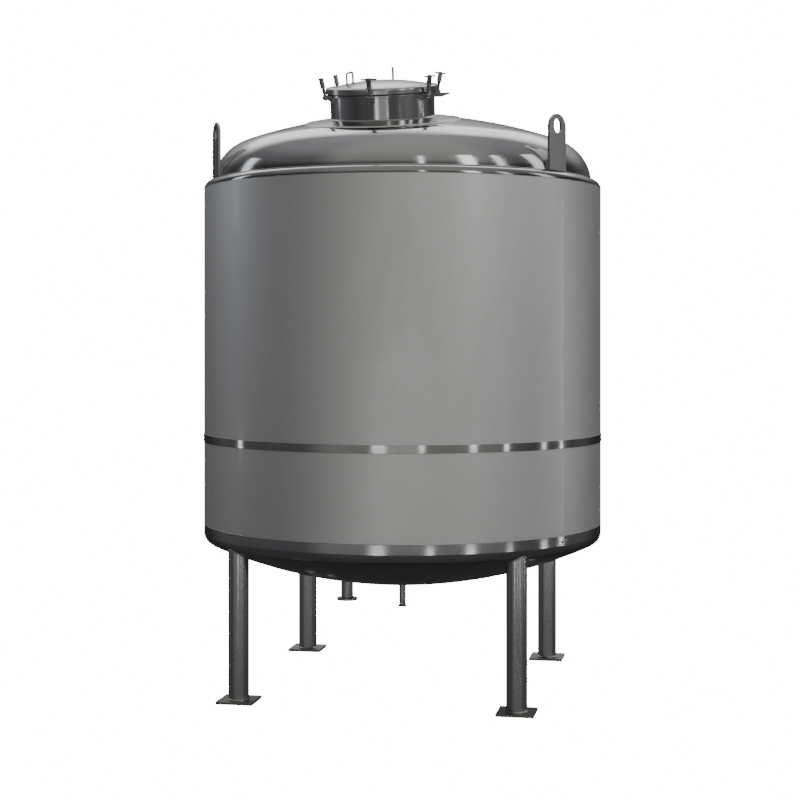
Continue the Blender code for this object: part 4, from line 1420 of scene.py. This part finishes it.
@dataclass(frozen=True)
class SwingBolts:
    """Swing bolts between curved ears on the neck, with long nuts that a cross bar turns.

    Attributes:
        bearings: where they stand.
        turns: how far each nut is turned.
        lean: how far they lean outwards, in degrees.
        circle: distance of the pivots from the manway's axis.
        pivot: height of the pivots.
        rod: radius of the threaded rod.
        eye: radius and width of the eye.
        bore: radius of the eye's bore.
        pin: radius of the pin.
        space: space between the ears.
        ear: thickness of an ear.
        ear_radius: radius of an ear's round end.
        root: heights of the ear's root from the pivot.
        length: length of the rod from the pivot.
        thread: where the thread starts, and how deep it is.
        pitch: pitch of the thread.
        nut_start: distance of the nut from the pivot.
        nut_flange: radius and thickness of the nut's flange.
        nut_hub: radius of the nut.
        nut_top: distance of the nut's top from the pivot.
        bar: radius and length of the cross bar.
        bar_height: distance of the cross bar from the pivot.
    """

    bearings: tuple[float, ...] = (0.0, 60.0, 120.0, 240.0, 300.0)
    turns: tuple[float, ...] = (0.0, 0.0, 20.0, 30.0, 0.0)
    lean: float = 11.5
    circle: float = 0.254
    pivot: float = 0.089
    rod: float = 0.0075
    eye: Point2 = (0.0115, 0.015)
    bore: float = 0.0055
    pin: float = 0.005
    space: float = 0.017
    ear: float = 0.005
    ear_radius: float = 0.011
    root: Point2 = (-0.004, -0.034)
    length: float = 0.078
    thread: Point2 = (0.018, 0.0009)
    pitch: float = 0.002
    nut_start: float = 0.042
    nut_flange: Point2 = (0.015, 0.004)
    nut_hub: float = 0.0105
    nut_top: float = 0.086
    bar: Point2 = (0.004, 0.072)
    bar_height: float = 0.080

    def build(self) -> None:
        """Makes every bolt with its ears, its pin and its nut."""
        tip = Matrix.Rotation(math.radians(-self.lean), 4, "Z")
        for number, (angle, turn) in enumerate(zip(self.bearings, self.turns), start=1):
            place = MANWAY @ station(angle, self.circle, self.pivot)
            self.build_ears(number, place)
            self.build_bolt(number, place @ tip)
            self.build_nut(number, place @ tip @ Matrix.Rotation(math.radians(turn), 4, "Y"))

    def build_ears(self, number: int, place: Matrix) -> None:
        """Makes the two ears and the pin of a bolt."""
        start = NECK.root - self.circle
        upper, lower = self.root
        depth = -self.ear_radius - lower
        outline = [(start - start * (1.0 - x), lower + depth * y)
                   for x, y in arc((0.0, 0.0), 1.0, 0.0, 90.0, 14)[:-1]]
        outline += arc((0.0, 0.0), self.ear_radius, -90.0, 90.0, 18) + [(start, upper)]
        ears(f"bolt_ear_{{}}_{number}", outline, self.ear, BOLT_EAR_EDGE, self.space, place)
        length = self.space + 2 * self.ear + 0.004
        add(pin(f"bolt_pin_{number}", self.pin, length, place), Finish.MACHINED, "manway_neck")

    def build_bolt(self, number: int, place: Matrix) -> None:
        """Makes the eye and the threaded rod of a bolt."""
        node, body = f"swing_bolt_{number}", Body.BOLT.value.format(number)
        radius, width = self.eye
        section = rounded(oblong(self.bore, radius, -width / 2, width / 2), 0.0015, (1, 2))
        fit(turned(f"bolt_eye_{number}", section, ROD_STEPS, place), Finish.MACHINED, node, body)
        low = self.bore + 0.002
        height, groove = self.thread
        section = [(0.0, low), (self.rod, low), (self.rod, height)]
        while height < self.nut_start - 0.001:
            section += [(self.rod - groove, height + self.pitch * 0.5), (self.rod, height + self.pitch)]
            height += self.pitch
        section += [(self.rod, self.length), (0.0, self.length)]
        add(turned(f"bolt_rod_{number}", section, ROD_STEPS, place @ ALONG_Y), Finish.MACHINED, node, body)

    def build_nut(self, number: int, place: Matrix) -> None:
        """Makes the nut and the bar across its head."""
        node, body = f"handle_nut_{number}", Body.BOLT.value.format(number)
        flange, thick = self.nut_flange
        top, start, bore = self.nut_top, self.nut_start, self.rod + 0.0003
        section = [(0.0, top), (self.nut_hub, top), (self.nut_hub, start + thick + 0.001),
                   (self.nut_hub + 0.001, start + thick), (flange, start + thick), (flange, start),
                   (bore, start), (bore, self.length + 0.0005), (0.0, self.length + 0.0005)]
        nut = turned(f"nut_{number}", rounded(section, 0.002, (1, 4, 5)), ROD_STEPS, place @ ALONG_Y)
        fit(nut, Finish.MACHINED, node, body)
        radius, length = self.bar
        half = length / 2
        ends = arc((0.0, half - radius), radius, 0.0, 90.0, 6)
        section = [(r, -h) for r, h in ends[::-1]] + ends
        section[0], section[-1] = (0.0, -half), (0.0, half)
        bar = turned(f"nut_bar_{number}", section, ROD_STEPS,
                     place @ Matrix.Translation((0.0, self.bar_height, 0.0)))
        add(bar, Finish.MACHINED, node, body)


# Studio


@dataclass(frozen=True)
class Softbox:
    """Area light that faces the tank.

    Attributes:
        name: its name.
        azimuth: direction from the tank, to the right of the camera, in degrees.
        distance: distance from the tank's axis.
        height: height of its centre.
        width: its width.
        tall: its height.
        watts: its power.
        colour: its colour.
        aim: height that it faces.
    """

    name: str
    azimuth: float
    distance: float
    height: float
    width: float
    tall: float
    watts: float
    colour: Colour = (1.0, 1.0, 1.0)
    aim: float = 1.5

    def build(self, towards: float) -> None:
        """Makes the light.

        Args:
            towards: bearing of the camera.
        """
        data = bpy.data.lights.new(self.name, "AREA")
        data.shape = "RECTANGLE"
        data.size, data.size_y = self.width, self.tall
        data.energy = self.watts
        data.color = self.colour
        lamp = bpy.data.objects.new(self.name, data)
        bpy.context.scene.collection.objects.link(lamp)
        place = bearing(towards + self.azimuth) * self.distance + Vector((0.0, 0.0, self.height))
        lamp.location = place
        lamp.rotation_euler = (Vector((0.0, 0.0, self.aim)) - place).to_track_quat("-Z", "Y").to_euler()
        lamp.visible_camera = False


@dataclass(frozen=True)
class Surround:
    """What the steel reflects: levels against the sine of the elevation, on the dark and on the bright side.

    Attributes:
        dark: levels from azimuths outside the bright side.
        bright: levels on the bright side.
        behind: levels behind the tank, which the roof reflects.
        dark_tint: colour of the dark side.
        bright_tint: colour of the bright side.
        edges: azimuths where the bright side starts, is full, stops being full and ends.
        back: azimuths to either side where the levels behind the tank start and are full.
    """

    dark: tuple[Point2, ...] = ((-1.0, 0.06), (-0.5, 0.06), (-0.2, 0.07), (-0.05, 0.15), (0.03, 0.15),
                                (0.12, 0.05), (0.28, 0.05), (0.45, 0.15), (0.80, 0.34), (1.0, 0.44))
    bright: tuple[Point2, ...] = ((-1.0, 0.07), (-0.5, 0.08), (-0.22, 0.09), (-0.06, 0.38), (0.0, 0.50),
                                  (0.06, 0.36), (0.14, 0.10), (0.28, 0.10), (0.45, 0.32), (0.80, 0.44),
                                  (1.0, 0.46))
    behind: tuple[Point2, ...] = ((-1.0, 0.03), (-0.2, 0.03), (0.0, 0.04), (0.20, 0.12), (0.42, 0.50),
                                  (0.60, 2.2), (0.89, 2.2), (0.95, 1.10), (1.0, 0.46))
    dark_tint: Colour = (1.0, 0.98, 1.06)
    bright_tint: Colour = (1.0, 1.005, 0.98)
    edges: tuple[float, float, float, float] = (-60.0, -38.0, 44.0, 78.0)
    back: Point2 = (120.0, 148.0)

    def ramp(self, graph: Graph, value: Socket, levels: Sequence[Point2],
             tint: Colour = (1.0, 1.0, 1.0)) -> Socket:
        """Adds a ramp of tinted levels against a value from -1 to 1."""
        made = graph.added("ShaderNodeValToRGB", {0: graph.math("MULTIPLY_ADD", value, 0.5, 0.5)})
        made.color_ramp.interpolation = "EASE"
        elements = made.color_ramp.elements
        while len(elements) < len(levels):
            elements.new(1.0)
        for element, (place, level) in zip(elements, levels):
            element.position = (place + 1.0) / 2
            element.color = (*(level * share for share in tint), 1.0)
        return made.outputs[0]

    def build(self, graph: Graph, towards: float) -> Socket:
        """Adds the nodes of the surround.

        Args:
            graph: the world's graph.
            towards: bearing of the camera.

        Returns:
            The colour against the direction.
        """
        place = graph.node("ShaderNodeTexCoord").outputs["Generated"]
        values = {"Vector": place, "Rotation": (0.0, 0.0, math.radians(-towards))}
        turn = graph.added("ShaderNodeMapping", values, vector_type="POINT")
        x, y, z = graph.added("ShaderNodeSeparateXYZ", {0: turn.outputs[0]}).outputs
        azimuth = graph.math("ARCTAN2", x, graph.math("MULTIPLY", y, -1.0))
        limits = [math.radians(edge) for edge in self.edges]
        rise = graph.remap(azimuth, limits[0], limits[1], 0.0, 1.0)
        fall = graph.remap(azimuth, limits[2], limits[3], 1.0, 0.0)
        sides = graph.mix(graph.math("MULTIPLY", rise, fall), self.ramp(graph, z, self.dark, self.dark_tint),
                          self.ramp(graph, z, self.bright, self.bright_tint))
        turned_away = graph.remap(graph.math("ABSOLUTE", azimuth), *map(math.radians, self.back), 0.0, 1.0)
        return graph.mix(turned_away, sides, self.ramp(graph, z, self.behind))


SOFTBOXES = (
    Softbox("window_left", -102.0, 6.0, 3.7, 0.9, 2.8, 14.0, (0.84, 0.92, 1.0)),
    Softbox("fill_front", -4.0, 7.0, 1.3, 3.2, 2.2, 7.0),
    Softbox("low_front", -12.0, 6.9, 0.75, 0.8, 0.35, 1.6),
    Softbox("window_middle", 10.5, 7.0, 4.2, 0.3, 3.8, 7.0),
    Softbox("low_middle", 10.0, 6.9, 0.75, 0.3, 0.3, 0.8),
    Softbox("window_right", 38.0, 7.0, 4.4, 1.0, 4.0, 30.0),
    Softbox("low_right", 37.0, 6.9, 0.75, 0.4, 0.35, 1.4),
    Softbox("window_side", 58.0, 7.0, 4.4, 0.5, 4.0, 15.0),
    Softbox("low_side", 56.0, 6.9, 0.75, 0.3, 0.3, 1.0),
    Softbox("window_far", 85.0, 6.0, 4.1, 1.0, 3.6, 17.0),
    Softbox("low_far", 80.0, 5.9, 0.8, 0.3, 0.3, 0.9),
    Softbox("strip_right", 94.0, 6.0, 1.2, 0.04, 2.6, 8.0),
    Softbox("floor_front", -12.0, 3.4, 0.26, 0.34, 0.22, 0.72, aim=0.6),
    Softbox("floor_middle", 13.0, 3.4, 0.26, 0.20, 0.20, 0.34, aim=0.6),
    Softbox("floor_right", 33.0, 3.4, 0.26, 0.24, 0.22, 0.46, aim=0.6),
    Softbox("floor_side", 54.0, 3.4, 0.26, 0.14, 0.20, 0.20, aim=0.6),
    Softbox("floor_far", 76.0, 3.4, 0.26, 0.24, 0.20, 0.36, aim=0.6),
    Softbox("low_left", -97.0, 6.0, 0.75, 0.35, 0.30, 1.0),
)


@dataclass(frozen=True)
class Studio:
    """Pale studio with a darker surround that the steel reflects.

    Attributes:
        towards: bearing of the camera.
        backdrop: brightness of what is behind the tank.
        surround: what the steel reflects.
        camera_place: place of the camera.
        sensor: width of the camera's sensor, in millimetres.
        lens: focal length.
        shift: shift of the lens.
        clip: nearest and farthest distance that is seen.
    """

    towards: float = 11.0
    backdrop: float = 16.0
    surround: Surround = Surround()
    camera_place: tuple[float, float, float] = (1.4425, -7.4211, 1.577)
    sensor: float = 36.0
    lens: float = 74.47
    shift: Point2 = (-0.0031, -0.08375)
    clip: Point2 = (0.1, 200.0)

    def build(self) -> None:
        """Makes the world, the floor, the camera and the lights."""
        self.build_world()
        self.build_floor()
        self.build_camera()
        for box in SOFTBOXES:
            box.build(self.towards)

    def build_world(self) -> None:
        """Makes a world that is pale for the camera and darker in reflections."""
        world = bpy.data.worlds.new("studio")
        bpy.context.scene.world = world
        world.use_nodes = True
        graph = Graph(world.node_tree)
        world.node_tree.nodes.clear()
        seen = graph.added("ShaderNodeBackground", {"Strength": self.backdrop, "Color": (1.0, 1.0, 1.0, 1.0)})
        lit = graph.added("ShaderNodeBackground", {"Color": self.surround.build(graph, self.towards)})
        graph.seen_apart("ShaderNodeOutputWorld", lit, seen)

    def build_floor(self) -> None:
        """Makes the plain pale floor."""
        shape = bmesh.new()
        bmesh.ops.create_grid(shape, x_segments=1, y_segments=1, size=60.0)
        floor = link("studio_floor", shape, Matrix.Translation((0.0, 0.0, -0.001)))
        material = bpy.data.materials.new("pale_floor")
        material.use_nodes = True
        graph = Graph(material.node_tree)
        material.node_tree.nodes.clear()
        glow = graph.added("ShaderNodeEmission", {"Strength": self.backdrop})
        matte = graph.added("ShaderNodeBsdfDiffuse", {"Color": (0.06, 0.06, 0.06, 1.0)})
        graph.seen_apart("ShaderNodeOutputMaterial", matte, glow)
        floor.data.materials.append(material)
        floor.visible_glossy = False

    def build_camera(self) -> None:
        """Makes the camera of the photo."""
        data = bpy.data.cameras.new("camera")
        data.sensor_width = self.sensor
        data.lens = self.lens
        data.shift_x, data.shift_y = self.shift
        data.clip_start, data.clip_end = self.clip
        camera = bpy.data.objects.new("camera", data)
        bpy.context.scene.collection.objects.link(camera)
        camera.location = self.camera_place
        camera.rotation_euler = (math.radians(90.0), 0.0, math.radians(self.towards))
        bpy.context.scene.camera = camera


def main() -> None:
    """Builds the tank and the studio."""
    logging.basicConfig(level=logging.INFO, format="%(name)s: %(message)s")
    outlet = Outlet("outlet_nozzle", -0.293, 0.147, 0.0285, 0.003, 0.0485, 0.012, 0.327, 0.534, 0.001)
    drain = Outlet("drain_pipe", 0.0, 0.0, 0.015, 0.0025, 0.0205, 0.007, 0.330, 0.502, 0.002)
    for part in (Jacket(), ClosureRing(), Ends(), Legs(), outlet, drain, LiftingLugs(), NECK, SideLug(),
                 COVER, Hinge(), SwingBolts(), Studio()):
        part.build()


if __name__ == "__main__":
    main()
